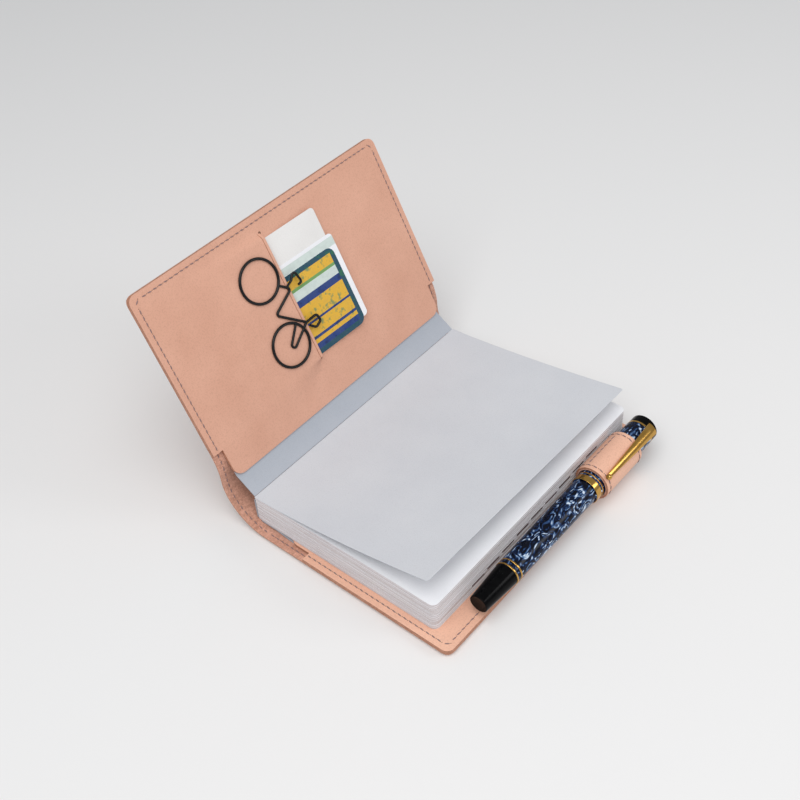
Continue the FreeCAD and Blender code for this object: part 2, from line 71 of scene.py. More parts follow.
# Floor and light: a lamp has a name, a place, a width in metres and a power in watts
KEY_LAMP = ("key", Vector((0.35, -0.5, 1.28)), 1.3, 15.5)
FILL_LAMP = ("fill", Vector((0.85, 0.55, 0.6)), 0.4, 1.8)
LAMP_AIM = Vector((0, 0, 0.03))
SKY_COLOUR = (0.93, 0.96, 1.0, 1)
SKY_STRENGTH = 0.42
FLOOR_COLOUR = (0.82, 0.81, 0.8, 1)
FLOOR_ROUGHNESS = 0.9
FLOOR_WIDTH = 6.0
FLOOR_DROP = 0.3 * MM

# Modelling: how close two places count as one, and when a face counts as facing a direction
NEAR = 0.1 * MM
WELD = 0.002 * MM
FLAT_ANGLE = math.radians(0.5)
CORNER_STEPS = 6
FACING = 0.5

# Leather cover
FRONT_LEAN = math.radians(63.5)
FRONT_OFFSET = 5.0 * MM
FRONT_NOTCH = 26.5 * MM
FRONT_REACH = 108.5 * MM
FRONT_TONGUE = 11.0 * MM
FRONT_TONGUE_INSET = 5.5 * MM
TONGUE_CORNER = 5.0 * MM
HEM = 5.0 * MM
HEM_RISE = 0.6 * MM
BACK_NOTCH = 32.6 * MM
LEATHER = 1.8 * MM
PANEL = 1.4 * MM
FOLD_BACK = 30.0 * MM
FLAT_STEPS = 8
SPINE_STEPS = 18
FOLD_STEPS = 8
HIDE_WELD = 0.01 * MM
CORNER = 4.0 * MM
SOFT_EDGE = 0.35 * MM
SKIVE = 3.0 * MM
SKIVE_DEPTH = 1.15 * MM
BACK_PANEL_FACING = 0.6
FRONT_PANEL_FACING = 0.55
STRAP_FACING = 0.7
FOOT_HEIGHT = 2.0 * MM
FOOT_EDGE = 0.2 * MM
LINING_EDGE = 0.15 * MM

# Seams
STITCH_INSET = 3.0 * MM
STITCH_PITCH = 3.1 * MM
STITCH_LENGTH = 2.3 * MM
STITCH_SLANT = math.radians(7)
THREAD = 0.58 * MM
THREAD_FLATNESS = 0.9
THREAD_LIFT = 0.08 * MM
HOLE = 0.24 * MM
HOLE_DEPTH = 0.1 * MM
SEAM_CORNER = 2.6 * MM
SPINE_ON_TABLE = 0.2
SPINE_NUDGE = 0.01
LOOP_SEAM_INSET = 2.2 * MM
LOOP_SEAM_SWEEP = math.radians(235)
LOOP_SEAM_START = math.radians(-27)
LOOP_SIDE_SEAM = math.radians(118)

# Slit and its lip
SLIT_Y = -4.5 * MM
SLIT_TILT = math.radians(3.0)
SLIT_START = 33.1 * MM
SLIT_END = 97.1 * MM
SLIT_NEAR = 0.02 * MM
STOP_HOLE = 0.8 * MM
STOP_HOLE_FLATNESS = 0.12
STOP_HOLE_OUT = 2.6 * MM
GUTTER_HOLE_OUT = 0.9 * MM
SLIT_LEFT = -SLIT_END - STOP_HOLE_OUT
SLIT_RIGHT = -SLIT_START + GUTTER_HOLE_OUT
GUTTER_FAN = 14.0 * MM
EDGE_FAN = 2.5 * MM
EDGE_FAN_SLOPE = 0.2
LIP_LIFT = 2.3 * MM
LIP_FALL = 44.0 * MM
CREASE_INSET = 1.5 * MM
CREASE_DEPTH = 0.22 * MM
CREASE_REACH = 0.25 * MM

# The panel's net in millimetres: columns from the slit's two stop holes, rows from the slit
EDGE_COLUMNS = (-2, -4, 0.9, 1.8)
GUTTER_COLUMNS = (1.5, 3, 6, 9, 12, 15, -0.3, -0.6)
LIP_COLUMN = 4.0 * MM
LIP_COLUMNS = 15
ROWS_BELOW = (0, 1.3, 1.5, 1.7, 4, 7, 11, 16, 22, 29, 36, 44, 56, 66)
ROWS_ABOVE = (2, 8, 20, 35, 50, 65)

# Cards and wire: a card starts at a distance from the gutter and rises out of the slit
CARD_INSERT = 26.0 * MM
CARD_CORNER = 2.0 * MM
CARD = 0.25 * MM
NOTE_START = 41.5 * MM
NOTE_WIDTH = 55.0 * MM
NOTE_RISE = 32.0 * MM
BACKING_START = 36.2 * MM
BACKING_WIDTH = 45.0 * MM
BACKING_RISE = 35.0 * MM
MINT_START = 1.6 * MM
MINT_END = 6.0 * MM
TICKET = 0.3 * MM
TICKET_START = 33.7 * MM
TICKET_WIDTH = 42.0 * MM
TICKET_RISE = 32.0 * MM
TICKET_CORNER = 4.0 * MM
TICKET_BORDER = 2.6 * MM
WIRE_COAT = 0.1 * MM

# Notebook
PAGE_CORNER = 3.0 * MM
PAGE_INSET = 0.15 * MM
PAGE_SLIP = 0.28 * MM
PAGE_SHIFT = 0.12 * MM
PAGE_FILL = 0.9
PAGES_IN_SECTION = 7
PAGE_CUTS = (4, 8, 12, 16, 20, 26, 34, 44, 56, 70, 85)
BLOCK_ARCH = 0.5 * MM
BLOCK_ARCH_RISE = 8
BLOCK_ARCH_FALL = 6
MARKS = 9
MARK_FIRST = 44.0 * MM
MARK_PITCH = 11.0 * MM
MARK_LENGTH = 8.8 * MM
MARK_HEIGHT = 1.0 * MM
MARK_LEVEL = 0.70
MARK_STEP = 0.052
MARK_INK = 0.06 * MM
MARK_PROUD = 0.01 * MM
LEAF = 0.2 * MM
LEAF_CORNER = 1.2 * MM
LEAF_OVERLAP = 0.42 * MM
LEAF_CLEAR = 0.06 * MM
LEAF_STRIPS = 28
LEAF_BANDS = 12
LEAF_ARCH = 1.2 * MM
LEAF_ARCH_RISE = 6
LEAF_TWIST = 2.4 * MM
LEAF_HUG = 0.08
LEAF_BEND = 1.35
PAPER_EDGE = 0.05 * MM
COVER_CARD = 0.55 * MM
COVER_CARD_EDGE = 0.12 * MM
COVER_CARD_INSET = 0.6 * MM
COVER_CARD_UNDER = 0.3 * MM
COVER_CARD_END = 5.5 * MM
COVER_CARD_BEND = 0.5 * MM
COVER_CARD_GUTTER = Vector((-0.62, 0, 0.15)) * MM
COVER_PAPER_EDGE = 0.1 * MM

# Pen
TURNED_STEPS = 96
CAP_WALL = 1.1 * MM
CAP_HOLE = 3.85 * MM
CAP_TOP = 2.0 * MM
TUBE_EDGE = 0.2 * MM
TRIM_DEPTH = 0.3 * MM
BAND_EDGE = 0.14 * MM
FINIAL_RADIUS = 6.9 * MM
FINIAL_LENGTH = 5.2 * MM
FINIAL_DOME = 0.25 * MM
FINIAL_FLAT = 0.55
FINIAL_EDGE = 0.6 * MM
CLIP_CLEAR = 1.0 * MM
CLIP_COLUMN = 0.4 * MM
CLIP_COLUMNS = 4
CLIP_ROWS = 10
CLIP_FACING = 0.7
CLIP_FLARE = 0.4
CLIP_CROWN = 0.3 * MM
CLIP_BEND = 5.0 * MM
BARREL_BORE = 4.6 * MM
BARREL_END = 5.75 * MM
BARREL_TAPER = 0.05 * MM
BARREL_FLOOR = 7.0 * MM
BARREL_EDGE = 0.15 * MM
RING_WIDTH = 0.8 * MM
TAIL_TIP = 4.5 * MM
TAIL_DISH = 0.15 * MM
TAIL_DISH_SHARE = 0.8
TAIL_HOLLOW = 0.35 * MM
TAIL_EDGE = 0.35 * MM
INSIDE_EDGE = 0.1 * MM


def cad_box(node):
    """A node's lowest and highest corners."""
    return [Vector(corner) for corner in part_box(node)]


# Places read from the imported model
hinge = Vector(next(j["pos_m"] for j in frame["joints"] if j["name"] == "cover_fold"))
back_low, back_high = cad_box("back_shell")
fold_x = back_low.x
half_height = back_high.y
fold_turn = math.pi / 2 - FRONT_LEAN
front_matrix = Matrix.Translation(hinge) @ Matrix.Rotation(FRONT_LEAN, 4, "Y")
panel_matrix = front_matrix @ Matrix.Translation((0, 0, -FRONT_OFFSET))
slit_matrix = panel_matrix @ Matrix.Translation((0, SLIT_Y, 0)) @ Matrix.Rotation(SLIT_TILT, 4, "X")
front_normal = front_matrix.to_3x3() @ UPWARD
front_along = front_matrix.to_3x3() @ -CROSSWISE
barrel_low, barrel_high = cad_box("barrel")
pen_axis = (barrel_low + barrel_high) / 2
block_low = cad_box("page_section_1")[0]
block_high = cad_box("page_section_8")[1]
panel_top = block_low.z
outer_offset = FRONT_OFFSET + panel_top
front_end = hinge + front_along * FRONT_REACH - front_normal * outer_offset
fold_top = hinge + front_along * FRONT_NOTCH - front_normal * outer_offset
spine_radius = fold_top.z - FOLD_BACK * math.sin(fold_turn)
spine_centre = Vector((fold_x, 0, spine_radius))
fold_centre = Vector((fold_x - spine_radius - FOLD_BACK, 0, spine_radius))


def front_point(along, y, lift=0.0):
    """A point of the front cover: along from the gutter, across the page, off the inner panel."""
    return panel_matrix @ Vector((-along, y, lift))


# Modelling steps
def object_mode():
    if bpy.context.mode != "OBJECT":
        bpy.ops.object.mode_set(mode="OBJECT")


def deselect_all():
    object_mode()
    bpy.ops.object.select_all(action="DESELECT")


def pick(*objects):
    deselect_all()
    for obj in objects:
        obj.select_set(True)
    bpy.context.view_layer.objects.active = objects[0]


def edit_all(obj):
    pick(obj)
    bpy.ops.object.mode_set(mode="EDIT")
    bpy.ops.mesh.select_mode(type="VERT")
    bpy.ops.mesh.select_all(action="SELECT")


def edit_vertices(obj, wanted):
    """Go to edit mode with only the vertices selected whose place passes the test."""
    pick(obj)
    bpy.ops.object.mode_set(mode="EDIT")
    bpy.ops.mesh.select_mode(type="VERT")
    bpy.ops.mesh.select_all(action="DESELECT")
    bpy.ops.object.mode_set(mode="OBJECT")
    for vertex in obj.data.vertices:
        vertex.select = wanted(vertex.co)
    bpy.ops.object.mode_set(mode="EDIT")


def named(name):
    obj = bpy.context.active_object
    obj.name = name
    obj.data.name = name
    return obj


def new_object(name, data):
    obj = bpy.data.objects.new(name, data)
    bpy.context.scene.collection.objects.link(obj)
    return obj


def extrude(move):
    bpy.ops.mesh.extrude_region_move(TRANSFORM_OT_translate={"value": move})


def weld(threshold=WELD):
    """Merge the doubles of the mesh in edit mode and point its faces outwards."""
    bpy.ops.mesh.select_all(action="SELECT")
    bpy.ops.mesh.remove_doubles(threshold=threshold)
    bpy.ops.mesh.normals_make_consistent(inside=False)


def drawn_line(name, points):
    """A line drawn from place to place, left all selected in edit mode."""
    deselect_all()
    bpy.ops.mesh.primitive_plane_add(size=MM)
    obj = named(name)
    edit_all(obj)
    bpy.ops.mesh.merge(type="CENTER")
    bpy.ops.transform.translate(value=points[0])
    for here, there in zip(points, points[1:]):
        extrude(there - here)
    bpy.ops.mesh.select_all(action="SELECT")
    return obj


def round_corners(corner):
    bpy.ops.mesh.bevel(offset=corner, segments=CORNER_STEPS, affect="VERTICES")


def flat_card(name, low, high, corners, corner):
    """A level rectangle from low to high with the chosen corners rounded."""
    deselect_all()
    bpy.ops.mesh.primitive_plane_add(size=1, location=(low + high) / 2)
    obj = named(name)
    obj.scale = (high.x - low.x, high.y - low.y, 1)
    bpy.ops.object.transform_apply(location=True, rotation=False, scale=True)
    edit_vertices(obj, lambda co: any((co.xy - c.xy).length < NEAR for c in corners))
    round_corners(corner)
    return obj


def cut_across(obj, places, normal):
    """Cut new edges across a piece at each place."""
    for place in places:
        edit_all(obj)
        bpy.ops.mesh.bisect(plane_co=place, plane_no=normal)
    object_mode()


def modified(obj, kind, **settings):
    pick(obj)
    modifier = obj.modifiers.new(kind.lower(), kind)
    for key, value in settings.items():
        setattr(modifier, key, value)
    bpy.ops.object.modifier_apply(modifier=modifier.name)
    return obj


def thickened(obj, thickness, offset=1.0):
    return modified(obj, "SOLIDIFY", thickness=thickness, offset=offset, use_even_offset=True)


def smooth(obj, angle=35):
    pick(obj)
    bpy.ops.object.shade_smooth_by_angle(angle=math.radians(angle))


def softened(obj, width, segments=2, angle=40, flat_faces=True):
    """Round the sharp edges and smooth the shading, keeping it even over large flat faces."""
    modified(obj, "BEVEL", width=width, segments=segments, limit_method="ANGLE",
             angle_limit=math.radians(angle), use_clamp_overlap=True, miter_outer="MITER_ARC")
    smooth(obj, 35 if flat_faces else 60)
    return modified(obj, "WEIGHTED_NORMAL", keep_sharp=True) if flat_faces else obj


def placed(obj, matrix):
    object_mode()
    obj.data.transform(matrix)
    obj.data.update()
    return obj


def traced(node, name):
    """A copy of a node's mesh, merged to whole faces, for a piece that keeps the node's shape."""
    mesh = frame["nodes"][node].data.copy()
    mesh.materials.clear()
    obj = new_object(name, mesh)
    edit_all(obj)
    bpy.ops.mesh.customdata_custom_splitnormals_clear()
    bpy.ops.mesh.remove_doubles(threshold=WELD)
    bpy.ops.mesh.dissolve_limited(angle_limit=FLAT_ANGLE)
    object_mode()
    return obj


def joined(name, objects):
    pick(*objects)
    bpy.ops.object.join()
    return named(name)


def give_materials(obj, *materials):
    for material in materials:
        obj.data.materials.append(material)


def sort_faces(obj, rule):
    """Give each face the material whose number the rule finds for it."""
    for polygon in obj.data.polygons:
        polygon.material_index = int(rule(polygon))


def finished(obj, body, nodes, materials):
    """Give a piece its materials and its body, and hide the nodes it stands for."""
    numbers = [polygon.material_index for polygon in obj.data.polygons]
    obj.data.materials.clear()
    give_materials(obj, *materials)
    for polygon, number in zip(obj.data.polygons, numbers):
        polygon.material_index = min(number, len(materials) - 1)
    if body:
        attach(obj, body)
    if nodes:
        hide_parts(*nodes)
    return obj


def make_traced_piece(node, name, body, material, edge):
    """A piece that keeps its node's shape, with its edges softened."""
    piece = softened(traced(node, name), edge)
    finished(piece, body, [node], [material])


# Materials
def new_material(name):
    material = bpy.data.materials.new(name)
    material.use_nodes = True
    tree = material.node_tree
    return material, tree, tree.nodes["Principled BSDF"]


def tune(node, **values):
    """Set a node's inputs, named with an underscore for each space."""
    for name, value in values.items():
        node.inputs[name.replace("_", " ")].default_value = value


def add(tree, kind, **values):
    node = tree.nodes.new(kind)
    tune(node, **values)
    return node


def paint(tree, shader, value, socket="Base Color"):
    tree.links.new(value, shader.inputs[socket])


def grey(value):
    return (value, value, value)


def ramp(tree, factor, stops):
    node = tree.nodes.new("ShaderNodeValToRGB")
    elements = node.color_ramp.elements
    while len(elements) < len(stops):
        elements.new(0.5)
    for element, (position, colour) in zip(elements, stops):
        element.position = position
        element.color = (*colour, 1)
    tree.links.new(factor, node.inputs["Fac"])
    return node.outputs["Color"]


def two_tone(tree, factor, dark, pale):
    """A drift between two colours over the middle of a factor's range."""
    return ramp(tree, factor, [(0.3, dark), (0.7, pale)])


def mix(tree, factor, first, second, blend="MIX"):
    node = tree.nodes.new("ShaderNodeMix")
    node.data_type = "RGBA"
    node.blend_type = blend
    node.inputs[0].default_value = factor
    tree.links.new(first, node.inputs[6])
    tree.links.new(second, node.inputs[7])
    return node.outputs[2]


def object_place(tree, scale=(1, 1, 1), turn=(0, 0, 0)):
    place = tree.nodes.new("ShaderNodeTexCoord")
    mapping = add(tree, "ShaderNodeMapping", Scale=scale, Rotation=turn)
    tree.links.new(place.outputs["Object"], mapping.inputs["Vector"])
    return mapping.outputs["Vector"]


def noise(tree, place, scale, detail=3.0, rough=0.5, distortion=0.0):
    node = add(tree, "ShaderNodeTexNoise", Scale=scale, Detail=detail, Roughness=rough,
               Distortion=distortion)
    tree.links.new(place, node.inputs["Vector"])
    return node.outputs["Fac"]


def bump(tree, shader, height, strength, distance):
    node = add(tree, "ShaderNodeBump", Strength=strength, Distance=distance)
    tree.links.new(height, node.inputs["Height"])
    paint(tree, shader, node.outputs["Normal"], "Normal")


def make_mottle_group():
    """Shared colour drift: broad patches and fine specks over a base colour."""
    group = bpy.data.node_groups.new("mottle", "ShaderNodeTree")
    for name, kind in (("Place", "NodeSocketVector"), ("Patch size", "NodeSocketFloat"),
                       ("Speck size", "NodeSocketFloat")):
        group.interface.new_socket(name, in_out="INPUT", socket_type=kind)
    for name in ("Patches", "Specks"):
        group.interface.new_socket(name, in_out="OUTPUT", socket_type="NodeSocketFloat")
    entry = group.nodes.new("NodeGroupInput")
    leave = group.nodes.new("NodeGroupOutput")
    for size, name, detail in (("Patch size", "Patches", 3.0), ("Speck size", "Specks", 6.0)):
        texture = add(group, "ShaderNodeTexNoise", Detail=detail, Roughness=0.6)
        group.links.new(entry.outputs["Place"], texture.inputs["Vector"])
        group.links.new(entry.outputs[size], texture.inputs["Scale"])
        group.links.new(texture.outputs["Fac"], leave.inputs[name])
    return group


mottle_group = make_mottle_group()


def mottle(tree, patch_size, speck_size):
    """Patches and specks of the shared colour drift, sized as waves per metre."""
    node = tree.nodes.new("ShaderNodeGroup")
    node.node_tree = mottle_group
    tune(node, Patch_size=patch_size, Speck_size=speck_size)
    tree.links.new(object_place(tree), node.inputs["Place"])
    return node.outputs["Patches"], node.outputs["Specks"]


def make_grain_leather(name, dark, pale):
    material, tree, shader = new_material(name)
    patches, specks = mottle(tree, 32, 1500)
    colour = two_tone(tree, patches, dark, pale)
    specked = ramp(tree, specks, [(0.36, (0.86, 0.84, 0.83)), (0.52, grey(1))])
    paint(tree, shader, mix(tree, 0.8, colour, specked, "MULTIPLY"))
    rough = add(tree, "ShaderNodeMapRange", To_Min=0.5, To_Max=0.68)
    tree.links.new(specks, rough.inputs["Value"])
    paint(tree, shader, rough.outputs["Result"], "Roughness")
    cells = add(tree, "ShaderNodeTexVoronoi", Scale=1300.0)
    tree.links.new(object_place(tree), cells.inputs["Vector"])
    bump(tree, shader, mix(tree, 0.5, cells.outputs["Distance"], specks), 0.25, 0.12 * MM)
    return material


def make_flesh_leather():
    material, tree, shader = new_material("leather_flesh_side")
    patches, specks = mottle(tree, 90, 900)
    fibres = noise(tree, object_place(tree, (1, 0.7, 1)), 1000, 6, 0.65, 0.5)
    colour = two_tone(tree, patches, (0.54, 0.27, 0.187), (0.69, 0.37, 0.267))
    flecks = ramp(tree, fibres, [
        (0.36, (0.7, 0.64, 0.61)), (0.54, grey(1)), (0.7, (1.25, 1.3, 1.33))])
    paint(tree, shader, mix(tree, 0.9, colour, flecks, "MULTIPLY"))
    tune(shader, Roughness=0.95, Sheen_Weight=0.25)
    bump(tree, shader, mix(tree, 0.4, fibres, specks), 0.45, 0.2 * MM)
    return material


def make_edge_leather():
    material, tree, shader = new_material("leather_cut_edge")
    layers = noise(tree, object_place(tree), 900, 6, 0.65)
    colour = ramp(tree, layers, [(0.35, (0.36, 0.15, 0.085)), (0.65, (0.56, 0.27, 0.17))])
    paint(tree, shader, colour)
    tune(shader, Roughness=0.6)
    bump(tree, shader, layers, 0.3, 0.15 * MM)
    return material


def make_thread():
    material, tree, shader = new_material("waxed_thread")
    twist = add(tree, "ShaderNodeTexWave", Scale=900.0, Distortion=1.0)
    twist.bands_direction = "DIAGONAL"
    tree.links.new(object_place(tree), twist.inputs["Vector"])
    strands = twist.outputs["Fac"]
    colour = ramp(tree, strands, [(0.1, (0.16, 0.1, 0.095)), (0.7, (0.31, 0.21, 0.205))])
    paint(tree, shader, colour)
    tune(shader, Roughness=0.6)
    bump(tree, shader, strands, 0.4, 0.08 * MM)
    return material


def make_paper(name, dark, pale, speck):
    material, tree, shader = new_material(name)
    patches, specks = mottle(tree, 25, 2600)
    colour = two_tone(tree, patches, dark, pale)
    specked = ramp(tree, specks, [(0.3, grey(speck)), (0.5, grey(1)), (0.75, grey(1.03))])
    paint(tree, shader, mix(tree, 0.85, colour, specked, "MULTIPLY"))
    tune(shader, Roughness=0.85)
    bump(tree, shader, specks, 0.12, 0.05 * MM)
    return material


def make_page_edge():
    """The cut edges of many leaves: fine level lines, darker and pinker than the white paper, with
    painted shade and painted light bounced off the leather.
    """
    material, tree, shader = new_material("page_edges_painted_shade")
    lines = noise(tree, object_place(tree, (1, 1, 75)), 24, 5, 0.75)
    colour = ramp(tree, lines, [
        (0.34, (0.53, 0.47, 0.47)), (0.5, (0.65, 0.59, 0.59)), (0.66, (0.75, 0.7, 0.7))])
    paint(tree, shader, colour)
    tune(shader, Roughness=0.9)
    bump(tree, shader, lines, 0.2, 0.08 * MM)
    return material


def make_marbled_resin():
    material, tree, shader = new_material("marbled_resin")
    place = object_place(tree, (1, 0.6, 1), (0.5, 0.3, 0.7))
    strokes = noise(tree, place, 270, 1.5, 0.45, 3.0)
    veins = noise(tree, place, 130, 1, 0.4, 1.5)
    colour = ramp(tree, mix(tree, 0.2, strokes, veins), [
        (0.44, (0.002, 0.003, 0.009)), (0.505, (0.005, 0.014, 0.05)),
        (0.555, (0.022, 0.058, 0.16)), (0.595, (0.11, 0.2, 0.35)), (0.65, (0.62, 0.71, 0.82))])
    paint(tree, shader, colour)
    tune(shader, Roughness=0.2, Specular_IOR_Level=0.18)
    return material


def make_cloudy(name, scale, detail, dark, pale, **finish):
    """A plain finish whose colour drifts between two tones. A pair of roughnesses drifts too."""
    material, tree, shader = new_material(name)
    cloud = noise(tree, object_place(tree), scale, detail)
    paint(tree, shader, two_tone(tree, cloud, dark, pale))
    roughness = finish.pop("Roughness")
    if isinstance(roughness, tuple):
        paint(tree, shader, two_tone(tree, cloud, *map(grey, roughness)), "Roughness")
    else:
        tune(shader, Roughness=roughness)
    tune(shader, **finish)
    return material, tree, shader, cloud


def make_coated_wire():
    material, tree, shader, cloud = make_cloudy(
        "coated_wire", 500, 4, (0.003, 0.003, 0.0035), (0.008, 0.008, 0.0085),
        Roughness=0.32, Specular_IOR_Level=0.28)
    bump(tree, shader, cloud, 0.1, 0.05 * MM)
    return material


def make_ink(name, colour, shade=None):
    """Printing ink, a little worn and uneven."""
    material, tree, shader = new_material(name)
    patches, specks = mottle(tree, 300, 1500)
    worn = tuple(channel * 0.85 + 0.025 for channel in colour)
    paint(tree, shader, ramp(tree, patches, [
        (0.34, shade or colour), (0.46, colour), (0.75, worn)]))
    tune(shader, Roughness=0.55)
    bump(tree, shader, specks, 0.1, 0.03 * MM)
    return material


grain = make_grain_leather("natural_leather_grain", (0.65, 0.34, 0.234), (0.72, 0.392, 0.277))
# A lighter copy of the grain leather for the back pocket's panel and the pen strap: light painted
# into its colour, for the brighter light on those pieces.
grain_painted_lighter = make_grain_leather("leather_grain_painted_lighter", (0.8, 0.45, 0.315), (0.86, 0.505, 0.36))
flesh = make_flesh_leather()
cut_edge = make_edge_leather()
thread = make_thread()
# Holes are flat dark discs: the darker walls of a hole, with painted shade for the depth inside it.
hole_walls_and_shade = make_cloudy("hole_walls_and_shade", 1500, 3, (0.16, 0.08, 0.05), (0.26, 0.13, 0.085),
                       Roughness=0.9)[0]
page_edge_painted_shade = make_page_edge()
white_paper = make_paper("white_paper", (0.80, 0.80, 0.83), (0.87, 0.87, 0.89), 0.96)
grey_paper = make_paper("grey_paper", (0.595, 0.61, 0.645), (0.635, 0.65, 0.68), 0.88)
cover_paper = make_paper("blue_grey_cover", (0.395, 0.42, 0.468), (0.434, 0.458, 0.502), 0.86)
note_paper = make_paper("note_paper", (0.74, 0.72, 0.70), (0.82, 0.80, 0.78), 0.93)
index_ink = make_ink("index_ink", (0.11, 0.06, 0.065))
marbled = make_marbled_resin()
black_resin = make_cloudy("black_resin", 400, 4, (0.0015, 0.0015, 0.0018), (0.003, 0.003, 0.0032),
                          Roughness=(0.1, 0.16), Specular_IOR_Level=0.07)[0]
gold = make_cloudy("gold_plate", 220, 2, (0.56, 0.31, 0.07), (0.64, 0.375, 0.1),
                   Roughness=(0.13, 0.15), Metallic=1.0)[0]
coated_wire = make_coated_wire()
liner = make_cloudy("liner_plastic", 300, 3, (0.068, 0.085, 0.153), (0.08, 0.1, 0.18),
                    Roughness=0.4)[0]
teal_ink = make_ink("teal_ink", (0.005, 0.06, 0.1), (0.02, 0.13, 0.07))
yellow_ink = make_ink("yellow_ink", (0.74, 0.42, 0.03), (0.25, 0.27, 0.09))
blue_ink = make_ink("blue_ink", (0.008, 0.04, 0.19), (0.004, 0.02, 0.1))
mint_ink = make_ink("mint_ink", (0.60, 0.68, 0.64))
green_ink = make_ink("green_ink", (0.16, 0.33, 0.10))


# Leather
def fold_point(share, inset=0.0):
    """A point round the spine: 0 at the table, 1 where it stands upright, 2 at the front cover."""
    if share <= 1:
        angle = share * math.pi / 2
        radius = spine_radius - inset
        return spine_centre - Vector((radius * math.sin(angle), 0, radius * math.cos(angle)))
    angle = (share - 1) * fold_turn
    radius = FOLD_BACK + inset
    return fold_centre + Vector((radius * math.cos(angle), 0, radius * math.sin(angle)))


def bend_with_cover(obj):
    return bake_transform(obj)


def inward_and_depth(place):
    """At a place of the hide, the way into the cover and the depth from its outer face."""
    if place.x >= fold_x:
        return UPWARD, place.z
    if place.z >= fold_top.z:
        return front_normal, (place - hinge).dot(front_normal) + outer_offset
    level = Vector((0, place.y, 0))
    if place.z >= spine_radius:
        arm = place - fold_centre - level
        return arm.normalized(), arm.length - FOLD_BACK
    arm = spine_centre + level - place
    return arm.normalized(), spine_radius - arm.length


def skive_rim(vertex):
    """Thin the hide's rim from its outer face, as a pared edge is."""
    place = vertex.co
    inward, depth = inward_and_depth(place)
    to_edge = min(half_height - abs(place.y), back_high.x - place.x,
                  (front_end - place).dot(front_along))
    if to_edge < SKIVE - NEAR and depth < LEATHER / 2:
        vertex.co = place + inward * SKIVE_DEPTH * (1 - max(to_edge, 0) / SKIVE)


def hide_side(polygon):
    """0 for the smooth outside, 1 for the flesh side within, 2 for a cut edge."""
    facing = polygon.normal.dot(inward_and_depth(polygon.center)[0])
    if facing > FACING:
        return 1
    return 0 if facing < -FACING else 2


def make_hide():
    """One hide: flat under the notebook, round the spine and up the front."""
    edge = [Vector((back_high.x, side * half_height, 0)) for side in (-1, 1)]
    hide = drawn_line("cover_hide", edge)
    for step in range(FLAT_STEPS):
        extrude(((fold_x - back_high.x) / FLAT_STEPS, 0, 0))
    bpy.ops.mesh.spin(steps=SPINE_STEPS, angle=-math.pi / 2, center=spine_centre, axis=LENGTHWISE)
    bpy.ops.mesh.spin(steps=FOLD_STEPS, angle=fold_turn, center=fold_centre, axis=LENGTHWISE)
    for step in range(FLAT_STEPS):
        extrude(front_along * (FRONT_REACH - FRONT_NOTCH) / FLAT_STEPS)
    weld(HIDE_WELD)
    back_end = Vector((back_high.x, 0, 0))
    ends = (back_end, front_end)
    edit_vertices(hide, lambda co: any((co - end).xz.length < NEAR for end in ends))
    round_corners(CORNER)
    object_mode()
    upward = any(p.center.x > fold_x and p.normal.z > 0 for p in hide.data.polygons)
    rims = [Vector((0, y, 0)) for y in (SKIVE - half_height, half_height - SKIVE)]
    cut_across(hide, rims, LENGTHWISE)
    cut_across(hide, [back_end - CROSSWISE * SKIVE], CROSSWISE)
    cut_across(hide, [front_end - front_along * SKIVE], front_along)
    thickened(hide, LEATHER, 1.0 if upward else -1.0)
    for vertex in hide.data.vertices:
        skive_rim(vertex)
    softened(hide, SOFT_EDGE)
    sort_faces(hide, hide_side)
    nodes = ["back_shell", "spine_shell", "front_shell"]
    finished(hide, None, nodes, [grain, flesh, cut_edge])
    bend_with_cover(hide)


def make_back_panel():
    """The back pocket's panel with soft edges, its cut sides darker than its face; the face takes
    the grain leather painted lighter, for the light falling on it.
    """
    panel = softened(traced("back_pocket", "back_pocket_panel"), SOFT_EDGE)
    sort_faces(panel, lambda face: abs(face.normal.z) <= BACK_PANEL_FACING)
    finished(panel, "back", ["back_pocket"], [grain_painted_lighter, cut_edge])


def lip_lift(along, y):
    """How far the cards lift the panel: most along the slit, fading below it and past its ends."""
    below = SLIT_Y - y
    if below < -SLIT_NEAR or below > LIP_FALL:
        return 0.0
    beyond = max(SLIT_START - along, along - SLIT_END, 0.0)
    if along < SLIT_START:
        fade = GUTTER_HOLE_OUT + min(below, GUTTER_FAN)
    else:
        fade = STOP_HOLE_OUT + min(EDGE_FAN_SLOPE * below, EDGE_FAN)
    share = max(1 - beyond / fade, 0.0)
    return LIP_LIFT * (1 - below / LIP_FALL) * share * share * (3 - 2 * share)


def on_crease(place, reach):
    """Whether a place lies on the line that is pressed in along the slit's lip."""
    return abs(SLIT_Y - place.y - CREASE_INSET) < reach and SLIT_LEFT < place.x < SLIT_RIGHT


def front_panel_blank():
    """The flat panel, with rounded outer corners and a tongue towards the gutter."""
    tongue_half = half_height - FRONT_TONGUE_INSET
    low = Vector((-FRONT_REACH, -half_height, 0))
    high = Vector((-FRONT_NOTCH, half_height, 0))
    panel = flat_card("front_pocket_panel", low, high, [low, Vector((low.x, high.y, 0))], CORNER)
    cut_across(panel, [Vector((0, y, 0)) for y in (-tongue_half, tongue_half)], LENGTHWISE)
    edit_vertices(panel, lambda co: abs(co.x - high.x) < NEAR and abs(co.y) < tongue_half + NEAR)
    extrude((FRONT_NOTCH - FRONT_TONGUE, 0, 0))
    edit_vertices(panel, lambda co: abs(co.x + FRONT_TONGUE) < NEAR)
    round_corners(TONGUE_CORNER)
    return panel


